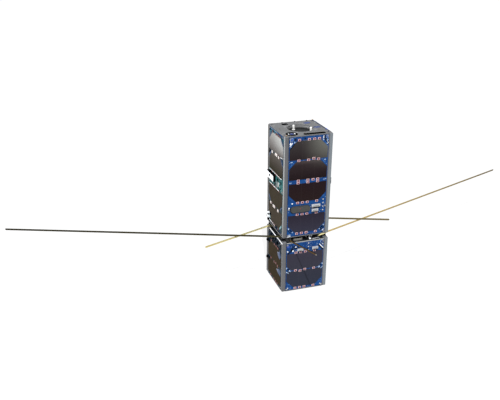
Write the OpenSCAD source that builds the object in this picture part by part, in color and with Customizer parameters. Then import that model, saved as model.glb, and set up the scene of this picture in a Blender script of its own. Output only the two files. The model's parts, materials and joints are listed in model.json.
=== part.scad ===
// Three-unit CubeSat: a one-unit bay and a two-unit bay with an antenna bay between them.
// Origin: centre of the four rail feet. +Z runs up the satellite, -Y is the front face.

/* [Body] */
// Width over the rails, the same both ways
body_w = 100; // [98:0.5:104]
// Length of the lower bay's rails
lower_h = 116; // [113:0.5:124]
// Open height between the lower and the upper rails
gap_h = 9; // [8.5:0.5:14]
// Length of the upper bay's rails
upper_h = 215.5; // [213:0.5:230]

/* [Rails and side frames] */
// Width of a rail on each outer face
rail_w = 8.5; // [7.5:0.25:9]
// Radius of a rail's outer edge
rail_round = 1; // [0.5:0.1:1.5]
// Width of the slope from a rail down to the panel
slope_w = 3; // [1:0.25:4]
// Depth of that slope
slope_d = 1.2; // [0.5:0.1:1.6]
// Chamfer at the ends of the rails
rail_end_chamfer = 1.8; // [0.5:0.1:2.4]
// Width of the ledge that a panel is screwed to
ledge_w = 4; // [3.5:0.25:5]
// Thickness of the ledges and of the side frames' webs
ledge_t = 2; // [1.5:0.1:2.4]
// Width of the web left round each window of a side frame
web_margin = 9; // [6:0.5:14]
// Corner radius of those windows
window_round = 5; // [2:0.5:8]
// Thickness of the bars at the ends of a side frame
bar_t = 5; // [4:0.25:6]
// Height of those bars and of the middle ribs
bar_h = 8; // [6:0.5:12]
// Depth of the tapped hole in each rail foot
foot_hole_depth = 9; // [6:0.5:14]
// Radius of the tapped hole in each rail foot
foot_hole_r = 1.25; // [1:0.05:1.6]

/* [End plates] */
// Thickness of the top, base and bottom plates
plate_t = 1.8; // [1.4:0.1:2.4]
// Thickness of the lower bay's lid
lid_t = 2.4; // [1.8:0.1:4]
// How far the plates lie inside the rail ends
end_drop = 0.5; // [0.3:0.1:1]
// Distance of the plate screws from the centre line
plate_screw_y = 30; // [20:1:34]
// Radius of the round payload opening
well_r = 26; // [22:0.5:27]

/* [Payload well] */
// Depth of the payload well below the top plate
well_depth = 9.2; // [7:0.2:30]
// Wall of the payload well
well_wall = 2; // [1.5:0.1:2.4]
// Floor of the payload well
well_floor = 3; // [2:0.25:5]
// Radius of the two probes
probe_r = 2.3; // [1.5:0.1:3]
// Height of the two probes above the well's floor
probe_h = 10.4; // [8:0.1:20]
// Width of the payload's housing below the well
housing_w = 62; // [50:1:64]

/* [Solar panels] */
// Thickness of the panel boards
panel_t = 1.6; // [1.2:0.1:2]
// How far a panel's face lies inside the rail's face
panel_recess = 0.6; // [0.4:0.1:1.2]
// Width of a solar cell
cell_w = 80; // [70:0.5:81]
// Height of a solar cell
cell_h = 38.8; // [34:0.2:39]
// Thickness of a solar cell
cell_t = 0.4; // [0.3:0.05:0.6]
// Size of a cell's cropped corners
cell_crop = 16; // [8:0.5:18]
// Crop of the corners of the cell below the lower band, on the front and the back
small_crop = 10; // [6:0.5:14]
// Space between two cells of one string
cell_gap = 2.5; // [1.5:0.1:3.5]
// Width of the contact tabs along the cells' edges
tab_w = 6; // [4:0.25:7]
// Height of the contact tabs
tab_h = 4.6; // [4:0.2:6]
// Thickness of the contact tabs
tab_t = 0.35; // [0.2:0.05:0.6]

/* [Antennas] */
// Thickness of the board that the lower antennas are clamped to
antenna_board_t = 1.6; // [1.2:0.1:2]
// Angle by which each antenna leans from its face's normal
cant = 20.8; // [15:0.2:24]
// Distance from the body's centre line to each antenna's exit
exit_offset = 33.8; // [30:0.2:35]
// Width of the antenna tapes
tape_w = 4; // [3:0.1:4.2]
// Thickness of the antenna tapes
tape_t = 0.3; // [0.2:0.05:0.4]
// Radius that the tapes are curved to across their width
tape_curve = 5; // [4:0.25:9]
// Height between a tape and the board or plate that it is clamped to
tape_clear = 0.5; // [0.3:0.05:0.6]
// Length of the left long antenna outside the body
left_long_antenna = 579; // [480:1:640]
// Length of the right long antenna outside the body
right_long_antenna = 626; // [480:1:640]
// Length of the two short antennas outside the body
short_antenna = 167; // [150:1:180]
// Length of the front whip outside the body
whip_antenna = 78; // [60:1:110]
// Length of an antenna clamp
clamp_l = 9; // [7:0.5:10]
// Width of an antenna clamp
clamp_w = 7; // [6:0.25:8]
// Radius of the collar round the cables between the bays
collar_r = 16; // [10:0.5:20]

/* [Kill switches] */
// Radius of the switch plungers
plunger_r = 1.5; // [1.2:0.1:2]
// How far a plunger stands out of its rail end
plunger_travel = 2; // [1:0.1:3]
// Length of a plunger
plunger_l = 12; // [8:0.5:20]
// Length of the spring below a plunger
spring_l = 5; // [4:0.25:9]

/* [Board stack] */
// Thickness of the stacked boards
board_t = 1.6; // [1.2:0.1:2]
// Radius of the stack rods
rod_r = 1.5; // [1.2:0.1:1.8]
// Distance between the stack rods from left to right
rod_pitch_x = 73; // [68:0.5:75]
// Distance between the stack rods from front to back
rod_pitch_y = 81; // [77:0.5:81]
// Height of the lowest spacers
foot_spacer = 8; // [6:0.5:12]
// Radius of the battery cells
battery_r = 9.1; // [8.8:0.1:9.3]
// Length of the battery cells
battery_l = 65; // [60:0.5:68]

/* [Hidden] */

$fn = 48;
eps = 0.01;

half = body_w / 2;
rail_in = half - rail_w;
rail_centre = half - rail_w / 2;
upper_z = lower_h + gap_h;
top_z = upper_z + upper_h;

// Fits between neighbours
panel_clear = 0.3;
plate_clear = 0.2;
shank_clear = 0.06;

// Faces of the panels and ledges, as distances from the centre
panel_out = half - panel_recess;
panel_in = panel_out - panel_t;
ledge_in = panel_in - ledge_t;
cell_face = panel_out + cell_t;
panel_half_w = rail_in - panel_clear;

// Heights of the plates
bottom_plate_top = end_drop + plate_t;
antenna_board_top = lower_h - end_drop;
lid_top = antenna_board_top - antenna_board_t;
lid_bottom = lid_top - lid_t;
base_plate_bottom = upper_z + end_drop;
base_plate_top = base_plate_bottom + plate_t;
top_plate_top = top_z - end_drop;
top_plate_bottom = top_plate_top - plate_t;

// Heights of the panels' ends
lower_panel_bottom = bottom_plate_top + plate_clear;
lower_panel_top = lid_bottom - plate_clear;
upper_panel_bottom = base_plate_top + plate_clear;
upper_panel_top = top_plate_bottom - plate_clear;

// Each row is a cell: the space above it, 1 if its top corners are the cropped ones, the sets of tab places
// along its top edge and its lower edge, and the crop of its corners
edge_space = 8.2;
board_space = 29;
sensor_space = 33;
strip_space = 8.4;
lower_space = 23.8;
front_upper_rows = [[edge_space, 1, 1, 1, cell_crop], [cell_gap, 1, 3, 1, cell_crop],
    [strip_space, 0, 2, 0, cell_crop], [board_space, 0, 0, 0, cell_crop]];
side_upper_rows = [[edge_space, 1, 1, 1, cell_crop], [cell_gap, 1, 3, 1, cell_crop],
    [sensor_space, 0, 0, 0, cell_crop], [cell_gap, 0, 4, 0, cell_crop]];
front_lower_rows = [[lower_space, 0, 0, 0, small_crop], [cell_gap, 0, 4, 0, cell_crop]];
side_lower_rows = [[lower_space, 1, 1, 1, cell_crop], [cell_gap, 1, 3, 1, cell_crop]];
upper_rows = [front_upper_rows, side_upper_rows, front_upper_rows, side_upper_rows];
lower_rows = [front_lower_rows, side_lower_rows, front_lower_rows, side_lower_rows];
// Sets of tab places: how far across the cell each tab is, and how far above its row
tab_places = [
    [[-20.3, 0], [-10, 0], [0.4, 0], [20.8, 0]],
    [[-20.4, 0], [0, 0], [10.9, 0], [21, 0]],
    [[-20.4, 0], [0.2, 0], [21, 0]],
    [[-20.4, 0], [0, 0], [10.9, 2], [21, 0]],
    [[-20.3, 0], [-10, -2], [0.4, 0], [20.8, 0]]];
tab_overhang = 1.8;
diode_gap = 1.4;
diode_size = [10, 2.4];
diode_share = 0.7;
diode_t = 0.5;

// Screws
screw_r = 1.2;
panel_screw_u = rail_in - ledge_w / 2 - panel_clear;
panel_screw_inset = 3;
panel_head_r = 1.7;
panel_head_h = 1;
plate_screw_x = panel_in - bar_t / 2;
plate_head_r = 2.5;
plate_head_h = 1.3;
plate_screw_l = 7;
socket_r = 0.9;
socket_d = 0.6;

// Middle of the open band on each panel, and the heights of the panels' screws
front_band_z = cell_top(front_upper_rows, upper_panel_top, 3) + board_space / 2;
side_band_z = cell_top(side_upper_rows, upper_panel_top, 2) + sensor_space / 2;
lower_band_z = lower_panel_top - lower_space / 2;
lower_screws = [lower_panel_bottom + panel_screw_inset, lower_panel_top - panel_screw_inset];
upper_ends = [upper_panel_bottom + panel_screw_inset, upper_panel_top - panel_screw_inset];
upper_screws = [concat(upper_ends, [front_band_z]), concat(upper_ends, [side_band_z - 11])];

// What sits on the panels: connectors as [across, height, width, depth], and round pads
connector_rows = [[19.5, front_band_z + 2.6, 18.5, 6.4], [17.6, front_band_z - 7.1, 14, 6.4],
    [-11.2, lower_band_z - 4.6, 13, 6], [21.8, lower_band_z - 4.6, 13, 6]];
connector_t = 2.2;
pad_r = 1.4;
pad_t = 0.6;
pad_pitch = 7.8;
pad_column = [35, 2.7];
lower_pad_u = 7.2;
side_socket = [11, -3, 7, 12];
cover_size = [42, 13.6];
cover_place = [-14, front_band_z - 1];
cover_h = 3.6;
eye_box = [36, 12.4];
eye_box_place = [-21, side_band_z + 3.6];
eye_box_h = 5.5;
edge_sensor_size = [4.2, 6];
edge_sensor_h = 5;
edge_sensor_u = -38.8;
edge_sensor_levels = [cell_top(side_upper_rows, upper_panel_top, 3) - cell_h + 3,
    cell_top(side_lower_rows, lower_panel_top, 0) - 4.5, cell_top(side_lower_rows, lower_panel_top, 1) - 4.5];

// Payload end
well_bottom = top_plate_bottom - well_depth;
well_lug_r = 3.5;
well_lug_t = 2;
well_lug_circle = well_r + 5;
well_lug_angles = [-34, 56, 146, 236];
probe_places = [[-6.7, 18.1], [21.5, -5.6]];
eye_place = [-30.5, -34];
eye_hole_r = 10.5;
eye_base_r = eye_hole_r + 1;
eye_base_t = 2.5;
eye_r = 6.5;
front_slot = [44, 7];
front_slot_place = [14, -42];
access_port = [7.6, 5.5];
access_port_place = [-19.9, 34.5];
plug_size = [12, 5];
plug_places = [[27.5, 31.2], [35.2, -2.5]];
plug_rim = 1;
plug_clear = 0.1;

// Antenna bay
low_tape_z = antenna_board_top + tape_clear + tape_w / 2;
high_tape_z = base_plate_bottom - tape_clear - tape_w / 2;
tape_hollow_r = tape_curve - tape_t;
tape_edge_x = sqrt(tape_hollow_r * tape_hollow_r - tape_w * tape_w / 4);
clamp_slot_w = tape_curve - tape_edge_x;
clamp_slot_h = tape_clear + tape_w + 0.1;
clamp_h = clamp_slot_h + 1.5;
clamp_setback = 1;
clamp_screw_r = 0.75;
clamp_screw_along = clamp_l / 4;
clamp_screw_across = clamp_w / 4 + clamp_slot_w / 4;
clamp_head_r = 1.2;
clamp_head_h = 0.6;
collar_wall = 1.5;
collar_flange = 3;
collar_flange_t = 1;
block_size = [6, 4, 7];
block_place = [11, -44];
latch_size = [20, 9];
latch_place = [-15, -41];
latch_h = 2;
standoff_place = 27;
standoff_r = 3.4;
standoff_clear = 0.3;

// Kill switches
plunger_clear = 0.05;
plunger_top = top_z + plunger_travel;
plunger_bottom = plunger_top - plunger_l;
spring_bottom = plunger_bottom - spring_l;
spring_wire_r = 0.22;
spring_coil_r = plunger_r - spring_wire_r - 0.2;
spring_turns = 4;
switch_size = [6, 5, 16];
switch_z = spring_bottom - switch_size[2] / 2;

// Board stack
rod_x = rod_pitch_x / 2;
rod_y = rod_pitch_y / 2;
rod_clear = 0.08;
spacer_r = 2.75;
board_half_x = rail_in - 0.5;
board_half_y = ledge_in - 0.3;
battery_board_z = bottom_plate_top + foot_spacer;
radio_gap = 16;
radio_board_z = battery_board_z + board_t + 2 * battery_r + radio_gap;
computer_pitch = 18;
computer_board_z = radio_board_z + computer_pitch;
attitude_board_z = base_plate_top + foot_spacer;
payload_pitch = 58;
payload_board_z = attitude_board_z + payload_pitch;
lower_boards = [battery_board_z, radio_board_z, computer_board_z];
upper_boards = [attitude_board_z, payload_board_z];
nut_h = 2.4;
upper_rod_top = payload_board_z + board_t + nut_h;
header_size = [52, 5];
header_y = 33;
wheel_box = 50;
wheel_h = 44;
wheel_r = 20;
wheel_groove_w = 6;
wheel_groove_d = 5;
housing_flange = 4;
housing_flange_t = 3;
housing_grooves = 5;

// ---------- functions ----------

// Total of the spaces above row k of a panel
function space_above(rows, k) = k == 0 ? rows[0][0] : rows[k][0] + space_above(rows, k - 1);
// Height of the top edge of the cell in row k
function cell_top(rows, top, k) = top - space_above(rows, k) - k * cell_h;
// Heights of the rows of tabs along the cell in row k: its top edge, and its lower edge where no cell follows closely
function tab_rows(rows, top, k) = concat(
    [cell_top(rows, top, k) + min(rows[k][0] / 2, tab_overhang)],
    k + 1 < len(rows) && rows[k + 1][0] <= 2 * tab_overhang ? [] :
        [cell_top(rows, top, k) - cell_h - tab_overhang]);

// ---------- shared shapes ----------

// Turns a shape made for the front face to side 0 front, 1 right, 2 back or 3 left
module on_side(side) {
    rotate([0, 0, 90 * side]) children();
}

// A flat shape drawn as seen from outside, laid on the front face with its back at depth d and thickness t
module on_front(d, t) {
    translate([0, -d, 0]) rotate([90, 0, 0]) linear_extrude(t) children();
}

module rounded_rect(size, r) {
    translate([r, 0]) square([size[0] - 2 * r, size[1]]);
    translate([0, r]) square([size[0], size[1] - 2 * r]);
    for (x = [r, size[0] - r], y = [r, size[1] - r]) translate([x, y]) circle(r);
}

// A bar with round ends, centred, its length along X
module stadium(size) {
    r = size[1] / 2;
    square([size[0] - 2 * r, size[1]], center = true);
    for (x = [-1, 1]) translate([x * (size[0] / 2 - r), 0]) circle(r);
}

// Hexagon socket cut into a screw's head whose top is at height 0
module socket(r) {
    translate([0, 0, -socket_d]) cylinder(2 * socket_d, r = r, $fn = 6);
}

// Countersunk screw with its head's top at the origin, pointing down
module countersunk_screw(length) {
    difference() {
        union() {
            translate([0, 0, -plate_head_h]) cylinder(plate_head_h, screw_r, plate_head_r);
            translate([0, 0, -length]) cylinder(length - plate_head_h + eps, r = screw_r);
        }
        socket(socket_r);
    }
}

// The hole for such a screw through a plate of thickness t whose outer face is at the origin
module countersunk_hole(t) {
    translate([0, 0, -plate_head_h - shank_clear])
        cylinder(plate_head_h + 2 * shank_clear, screw_r + shank_clear, plate_head_r + 2 * shank_clear);
    translate([0, 0, -t - 1]) cylinder(t + 1, r = screw_r + shank_clear);
}

module at_plate_screws() {
    for (x = [-plate_screw_x, plate_screw_x], y = [-plate_screw_y, plate_screw_y])
        translate([x, y, 0]) children();
}

module at_rods() {
    for (x = [-rod_x, rod_x], y = [-rod_y, rod_y]) translate([x, y, 0]) children();
}

// ---------- side frames ----------

// Section of the front-left rail with its two ledges
module rail_section() {
    translate([-half, -half]) {
        polygon([[rail_round, 0], [rail_w - slope_w, 0], [rail_w, slope_d], [rail_w, rail_w],
            [slope_d, rail_w], [0, rail_w - slope_w], [0, rail_round]]);
        translate([rail_round, rail_round]) circle(rail_round);
        ledge = half - panel_in;
        translate([rail_w - 1, ledge]) square([ledge_w + 1, ledge_t]);
        translate([ledge, rail_w - 1]) square([ledge_t, ledge_w + 1]);
    }
}

// Wedges that chamfer one end of the front-left rail, at height 0, on its two outer faces
module rail_end_cut() {
    c = rail_end_chamfer * sqrt(2);
    translate([-half, -half, 0]) rotate([45, 0, 0]) cube([3 * rail_w, c, c], center = true);
    translate([-half, -half, 0]) rotate([0, 45, 0]) cube([c, 3 * rail_w, c], center = true);
}

// Web and bars of the left side frame between heights z0 and z1, with windows split by bars
module side_web(z0, z1, windows) {
    span = 2 * rail_in;
    window_h = (z1 - z0 - (windows + 1) * bar_h) / windows;
    translate([-panel_in, 0, 0]) rotate([90, 0, 90]) linear_extrude(ledge_t) difference() {
        translate([-rail_in - eps, z0]) square([span + 2 * eps, z1 - z0]);
        for (i = [0 : windows - 1])
            translate([-rail_in + web_margin, z0 + bar_h + i * (window_h + bar_h)])
                rounded_rect([span - 2 * web_margin, window_h], window_round);
    }
    for (z = [z0, z1 - bar_h])
        translate([-panel_in, -rail_in - eps, z]) cube([bar_t, span + 2 * eps, bar_h]);
}

// Side frame on the left: rails from z0 to z1, web between the plates at w0 and w1
module side_frame(z0, z1, w0, w1, windows, front_screws, side_screws) {
    difference() {
        union() {
            translate([0, 0, z0]) linear_extrude(z1 - z0)
                for (m = [0, 1]) mirror([0, m]) rail_section();
            side_web(w0, w1, windows);
        }
        for (m = [0, 1]) mirror([0, m, 0]) {
            translate([0, 0, z0]) rail_end_cut();
            translate([0, 0, z1]) rail_end_cut();
        }
        frame_relief(w0, w1, z0, z1);
        for (side = [0, 2]) on_side(side) panel_screw_holes(front_screws, ledge_in - 1);
        on_side(3) panel_screw_holes(side_screws, ledge_in - 1);
        at_plate_screws() {
            translate([0, 0, w0 - eps]) cylinder(plate_screw_l, r = screw_r + shank_clear);
            translate([0, 0, w1 - plate_screw_l]) cylinder(plate_screw_l + eps, r = screw_r + shank_clear);
        }
    }
}

// Ledges stop at the end plates, so that the plates lie between the rails
module frame_relief(w0, w1, z0, z1) {
    cut = rail_in - eps;
    for (z = [[z0 - 1, w0], [w1, z1 + 1]])
        translate([-half - 1, -cut, z[0]]) cube([half, 2 * cut, z[1] - z[0]]);
    for (z = [[z0 - 1, w0], [w1, z1 + 1]], y = [-half - 1, rail_in - 2 * ledge_w])
        translate([-rail_in + eps, y, z[0]]) cube([2 * ledge_w, half, z[1] - z[0]]);
}

module lower_frame() {
    difference() {
        side_frame(0, lower_h, bottom_plate_top, lid_bottom, 1, lower_screws, lower_screws);
        for (y = [-rail_centre, rail_centre])
            translate([-rail_centre, y, -eps]) cylinder(foot_hole_depth, r = foot_hole_r);
    }
}

module upper_frame() {
    difference() {
        side_frame(upper_z, top_z, base_plate_top, top_plate_bottom, 2,
            upper_screws[0], upper_screws[1]);
        translate([-rail_centre, -rail_centre, spring_bottom])
            cylinder(top_z - spring_bottom + 1, r = plunger_r + plunger_clear);
    }
}

module lower_left_frame() { color("gray") lower_frame(); }
module lower_right_frame() { color("gray") rotate([0, 0, 180]) lower_frame(); }
module upper_left_frame() { color("gray") upper_frame(); }
module upper_right_frame() { color("gray") rotate([0, 0, 180]) upper_frame(); }

// Ribs that tie the two upper side frames together behind the front and back panels
module mid_ribs() {
    rib_half = rail_in - panel_clear;
    color("gray") for (side = [0, 2]) on_side(side) difference() {
        translate([-rib_half, -ledge_in, front_band_z - bar_h / 2]) cube([2 * rib_half, ledge_t, bar_h]);
        panel_screw_holes([front_band_z], ledge_in - ledge_t - 1);
    }
}

// ---------- end plates ----------

// Outline of a plate that fits between the rail ends
module plate_outline(plate_half) {
    notch = half - rail_in + plate_clear;
    difference() {
        square(2 * plate_half, center = true);
        for (x = [-1, 1], y = [-1, 1])
            translate([x * half, y * half]) square(2 * notch, center = true);
    }
}

module end_plate(z, t, outer_up) {
    difference() {
        translate([0, 0, z]) linear_extrude(t) plate_outline(half - plate_clear);
        at_plate_screws() translate([0, 0, outer_up ? z + t : z])
            mirror([0, 0, outer_up ? 0 : 1]) countersunk_hole(t);
    }
}

module bottom_plate() {
    window = rail_in / 2;
    color("gray") difference() {
        end_plate(end_drop, plate_t, false);
        translate([0, 0, end_drop - 1]) linear_extrude(plate_t + 2)
            for (a = [0 : 90 : 270]) rotate(a) translate([4, 4])
                rounded_rect([window, window], window_round);
    }
}

module lower_lid() {
    color("gray") difference() {
        end_plate(lid_bottom, lid_t, true);
        translate([0, 0, lid_bottom - 1]) cylinder(lid_t + 2, r = collar_r - collar_wall);
        at_standoffs() translate([0, 0, lid_bottom]) mirror([0, 0, 1]) countersunk_hole(lid_t);
        at_exits(0) translate([0, 0, lid_bottom - low_tape_z - 1]) at_clamp_screws()
            cylinder(lid_t + 2, r = clamp_screw_r + shank_clear);
    }
}

module upper_base_plate() {
    color("gray") difference() {
        end_plate(base_plate_bottom, plate_t, false);
        translate([0, 0, base_plate_bottom - 1]) cylinder(plate_t + 2, r = collar_r - collar_wall);
        at_standoffs() translate([0, 0, base_plate_top]) countersunk_hole(plate_t);
        at_exits(1) translate([0, 0, high_tape_z - base_plate_top - 1]) at_clamp_screws()
            cylinder(plate_t + 2, r = clamp_screw_r + shank_clear);
    }
}

module top_plate() {
    color("gray") difference() {
        end_plate(top_plate_bottom, plate_t, true);
        translate([0, 0, top_plate_bottom - 1]) linear_extrude(plate_t + 2) {
            circle(well_r, $fn = 96);
            translate(eye_place) circle(eye_hole_r);
            translate(front_slot_place) stadium(front_slot);
            translate(access_port_place) square(access_port, center = true);
            for (p = plug_places) translate(p) stadium(plug_size + [2, 2] * plug_clear);
        }
        at_well_lugs() translate([0, 0, top_plate_top]) countersunk_hole(plate_t);
    }
}

// ---------- solar panels ----------

// Holes for a panel's screws at the given heights, from the given depth outwards
module panel_screw_holes(levels, depth) {
    for (u = [-panel_screw_u, panel_screw_u], z = levels)
        translate([u, -depth, z]) rotate([90, 0, 0]) cylinder(half - depth + 1, r = screw_r + shank_clear);
}

module panel(side, z0, z1, levels) {
    color("royalblue") on_side(side) difference() {
        on_front(panel_in, panel_t) translate([-panel_half_w, z0])
            square([2 * panel_half_w, z1 - z0]);
        panel_screw_holes(levels, panel_in - 1);
    }
}

module upper_panel(side) { panel(side, upper_panel_bottom, upper_panel_top, upper_screws[side % 2]); }
module lower_panel(side) { panel(side, lower_panel_bottom, lower_panel_top, lower_screws); }

// Outline of one cell with its lower edge on the X axis and its lower corners cropped by $crop
module cell_outline() {
    w = cell_w / 2;
    polygon([[-w + $crop, 0], [w - $crop, 0], [w, $crop], [w, cell_h], [-w, cell_h], [-w, $crop]]);
}

// Puts a shape made for a cell with cropped lower corners at row k, turned over if its top is cropped
module at_cell(rows, top, k) {
    $crop = rows[k][4];
    upper = cell_top(rows, top, k);
    translate([0, rows[k][1] == 1 ? upper : upper - cell_h])
        mirror([0, rows[k][1]]) children();
}

module each_cell(side) {
    for (k = [0 : len(upper_rows[side]) - 1]) at_cell(upper_rows[side], upper_panel_top, k) children();
    for (k = [0 : len(lower_rows[side]) - 1]) at_cell(lower_rows[side], lower_panel_top, k) children();
}

module cells(side) {
    color("dimgray") on_side(side) on_front(panel_out, cell_t) each_cell(side) cell_outline();
}

// Flat bar-shaped diodes along the edges of the cropped corners
module bypass_diodes() {
    color("lightsteelblue") for (side = [0 : 3]) on_side(side) on_front(panel_out, diode_t)
        each_cell(side) for (m = [0, 1]) mirror([m, 0]) diode_outline();
}

module diode_outline() {
    corner = $crop / 2 - (diode_gap + diode_size[1] / 2) * sqrt(0.5);
    translate([-cell_w / 2 + corner, corner]) rotate(-45)
        square([min(diode_size[0], diode_share * $crop), diode_size[1]], center = true);
}

module tabs_of(rows, top) {
    for (k = [0 : len(rows) - 1])
        let (z = tab_rows(rows, top, k))
            for (i = [0 : len(z) - 1], place = tab_places[rows[k][2 + i]])
                translate([place[0], z[i] + place[1]]) square([tab_w, tab_h], center = true);
}

module cell_tabs() {
    color("mistyrose") for (side = [0 : 3]) on_side(side) on_front(cell_face, tab_t) {
        tabs_of(upper_rows[side], upper_panel_top);
        tabs_of(lower_rows[side], lower_panel_top);
    }
}

// ---------- what is on the panels ----------

// Silver socket with a step on its front and a slot along it
module connector(w, h) {
    difference() {
        union() {
            on_front(panel_out, connector_t) square([w, h], center = true);
            on_front(panel_out + connector_t, 0.8) square([w - 2, h - 2.4], center = true);
        }
        on_front(panel_out + connector_t, 2) square([w - 5, 1.2], center = true);
    }
}

module panel_connectors() {
    color("silver") {
        for (side = [0, 2], c = connector_rows) on_side(side) translate([c[0], 0, c[1]])
            connector(c[2], c[3]);
        for (side = [1, 3]) on_side(side) translate([side_socket[0], 0, side_band_z + side_socket[1]])
            connector(side_socket[2], side_socket[3]);
        for (side = [0, 2]) on_side(side) on_front(panel_out, pad_t) {
            for (i = [-1.5 : 1.5]) translate([pad_column[0], front_band_z + pad_column[1] + i * pad_pitch])
                circle(pad_r);
            for (i = [-1 : 1]) translate([lower_pad_u, lower_band_z + i * pad_pitch]) circle(pad_r);
        }
    }
}

// Box with a step round its outer edge, standing on the front face at depth d
module stepped_box(size, h) {
    on_front(panel_out, h - 1) square(size, center = true);
    on_front(panel_out + h - 1 - eps, 1) square(size - [2, 2], center = true);
}

// Cap over the umbilical connector: a flat-topped lid with round ends and a stepped edge
module umbilical_cover() {
    color("dimgray") translate([cover_place[0], 0, cover_place[1]]) {
        on_front(panel_out, cover_h - 0.8) stadium(cover_size);
        on_front(panel_out + cover_h - 0.8 - eps, 0.8) stadium(cover_size - [1.6, 1.6]);
    }
}

module panel_screw(length) {
    translate([0, -panel_out - panel_head_h, 0]) rotate([90, 0, 0]) difference() {
        union() {
            translate([0, 0, -panel_head_h]) cylinder(panel_head_h, r = panel_head_r);
            translate([0, 0, -panel_head_h - length]) cylinder(length + eps, r = screw_r);
        }
        socket(socket_r);
    }
}

// The screws at the middle of the front and back panels reach through the ribs
module panel_screws() {
    short = panel_out - ledge_in;
    color("silver") for (side = [0 : 3], u = [-panel_screw_u, panel_screw_u])
        on_side(side) for (z = concat(lower_screws, upper_screws[side % 2]))
            translate([u, 0, z]) panel_screw(z == front_band_z ? short + ledge_t : short);
}

module plate_screws() {
    color("silver") {
        at_plate_screws() {
            translate([0, 0, top_plate_top]) countersunk_screw(plate_screw_l);
            translate([0, 0, lid_top]) countersunk_screw(plate_screw_l);
            translate([0, 0, base_plate_bottom]) mirror([0, 0, 1]) countersunk_screw(plate_screw_l);
            translate([0, 0, end_drop]) mirror([0, 0, 1]) countersunk_screw(plate_screw_l);
        }
        at_well_lugs() translate([0, 0, top_plate_top]) countersunk_screw(plate_t + well_lug_t);
        at_standoffs() {
            translate([0, 0, lid_bottom]) mirror([0, 0, 1]) countersunk_screw(lid_t + 3);
            translate([0, 0, base_plate_top]) countersunk_screw(plate_t + 3);
        }
    }
}

// White sun sensor on the open band of each side panel, with its pinhole
module sun_sensor() {
    color("white") for (side = [1, 3])
        on_side(side) translate([eye_box_place[0], 0, eye_box_place[1]]) difference() {
            stepped_box(eye_box, eye_box_h);
            translate([0, 2 - panel_out - eye_box_h, 0]) rotate([90, 0, 0]) cylinder(3, 1, 2.2);
        }
}

// Small light sensors beside the cropped corners near the left panels' back edge
module edge_sensors() {
    color("white") on_side(3) for (z = edge_sensor_levels) translate([edge_sensor_u, 0, z])
        stepped_box(edge_sensor_size, edge_sensor_h);
}

// ---------- antenna bay ----------

// Puts a shape made for an antenna that leaves at the origin along +X at one of the five exits:
// where it leaves, which way, and on which level: 0 stands on the board, 1 hangs from the base plate
module at_exit(place, angle, level) {
    translate([place[0], place[1], level == 0 ? low_tape_z : high_tape_z])
        rotate([0, 0, angle]) mirror([0, 0, level]) children();
}

module at_vhf_left() { at_exit([-half, -exit_offset], 180 - cant, 1) children(); }
module at_vhf_right() { at_exit([half, -exit_offset], cant, 0) children(); }
module at_uhf_left() { at_exit([-half, exit_offset], 180 + cant, 0) children(); }
module at_uhf_right() { at_exit([half, exit_offset], -cant, 1) children(); }
module at_whip() { at_exit([-exit_offset, -half], cant - 90, 0) children(); }

// All exits on one level
module at_exits(level) {
    if (level == 0) {
        at_vhf_right() children();
        at_uhf_left() children();
        at_whip() children();
    }
    if (level == 1) {
        at_vhf_left() children();
        at_uhf_right() children();
    }
}

// Curved steel tape that starts in the clamp and ends in a round tip
module tape(length) {
    root = clamp_setback + clamp_l;
    intersection() {
        translate([-root, 0, 0]) rotate([90, 0, 90]) linear_extrude(root + length)
            tape_section();
        rotate([90, 0, 0]) linear_extrude(4 * tape_curve, center = true) union() {
            translate([-root, -tape_w / 2]) square([root + length - tape_w / 2, tape_w]);
            translate([length - tape_w / 2, 0]) circle(tape_w / 2);
        }
    }
}

module tape_section() {
    translate([(tape_curve + tape_edge_x) / 2, 0]) intersection() {
        difference() {
            circle(tape_curve);
            circle(tape_hollow_r);
        }
        translate([-2 * tape_curve, -tape_w / 2]) square([2 * tape_curve, tape_w]);
    }
}

module vhf_antenna_left() { color("darkolivegreen") at_vhf_left() tape(left_long_antenna); }
module vhf_antenna_right() { color("goldenrod") at_vhf_right() tape(right_long_antenna); }
module uhf_antenna_left() { color("goldenrod") at_uhf_left() tape(short_antenna); }
module uhf_antenna_right() { color("darkolivegreen") at_uhf_right() tape(short_antenna); }
module front_whip() { color("saddlebrown") at_whip() tape(whip_antenna); }

// The two screws of a clamp, one at each side of its tape
module at_clamp_screws() {
    for (m = [-1, 1])
        translate([m * clamp_screw_along - clamp_setback - clamp_l / 2, m * clamp_screw_across, 0])
            children();
}

module clamp_block() {
    difference() {
        translate([-clamp_setback - clamp_l, -clamp_w / 2, 0]) cube([clamp_l, clamp_w, clamp_h]);
        translate([-clamp_setback - clamp_l - 1, -clamp_slot_w / 2, -1])
            cube([clamp_l + 2, clamp_slot_w, clamp_slot_h + 1]);
        at_clamp_screws() translate([0, 0, -1]) cylinder(clamp_h + 2, r = clamp_screw_r + shank_clear);
    }
}

module antenna_clamps() {
    color("black") for (level = [0, 1])
        at_exits(level) translate([0, 0, -tape_clear - tape_w / 2]) clamp_block();
}

// Clamp screws go through the block and what it is clamped to
module clamp_screws() {
    seats = [antenna_board_t + lid_t, plate_t];
    color("silver") for (level = [0, 1])
        at_exits(level) translate([0, 0, -tape_clear - tape_w / 2]) at_clamp_screws() {
            difference() {
                translate([0, 0, clamp_h]) cylinder(clamp_head_h, r = clamp_head_r);
                translate([0, 0, clamp_h + clamp_head_h]) cylinder(clamp_head_h, r = clamp_screw_r, $fn = 6, center = true);
            }
            translate([0, 0, -seats[level]]) cylinder(clamp_h + seats[level] + eps, r = clamp_screw_r);
        }
}

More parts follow.
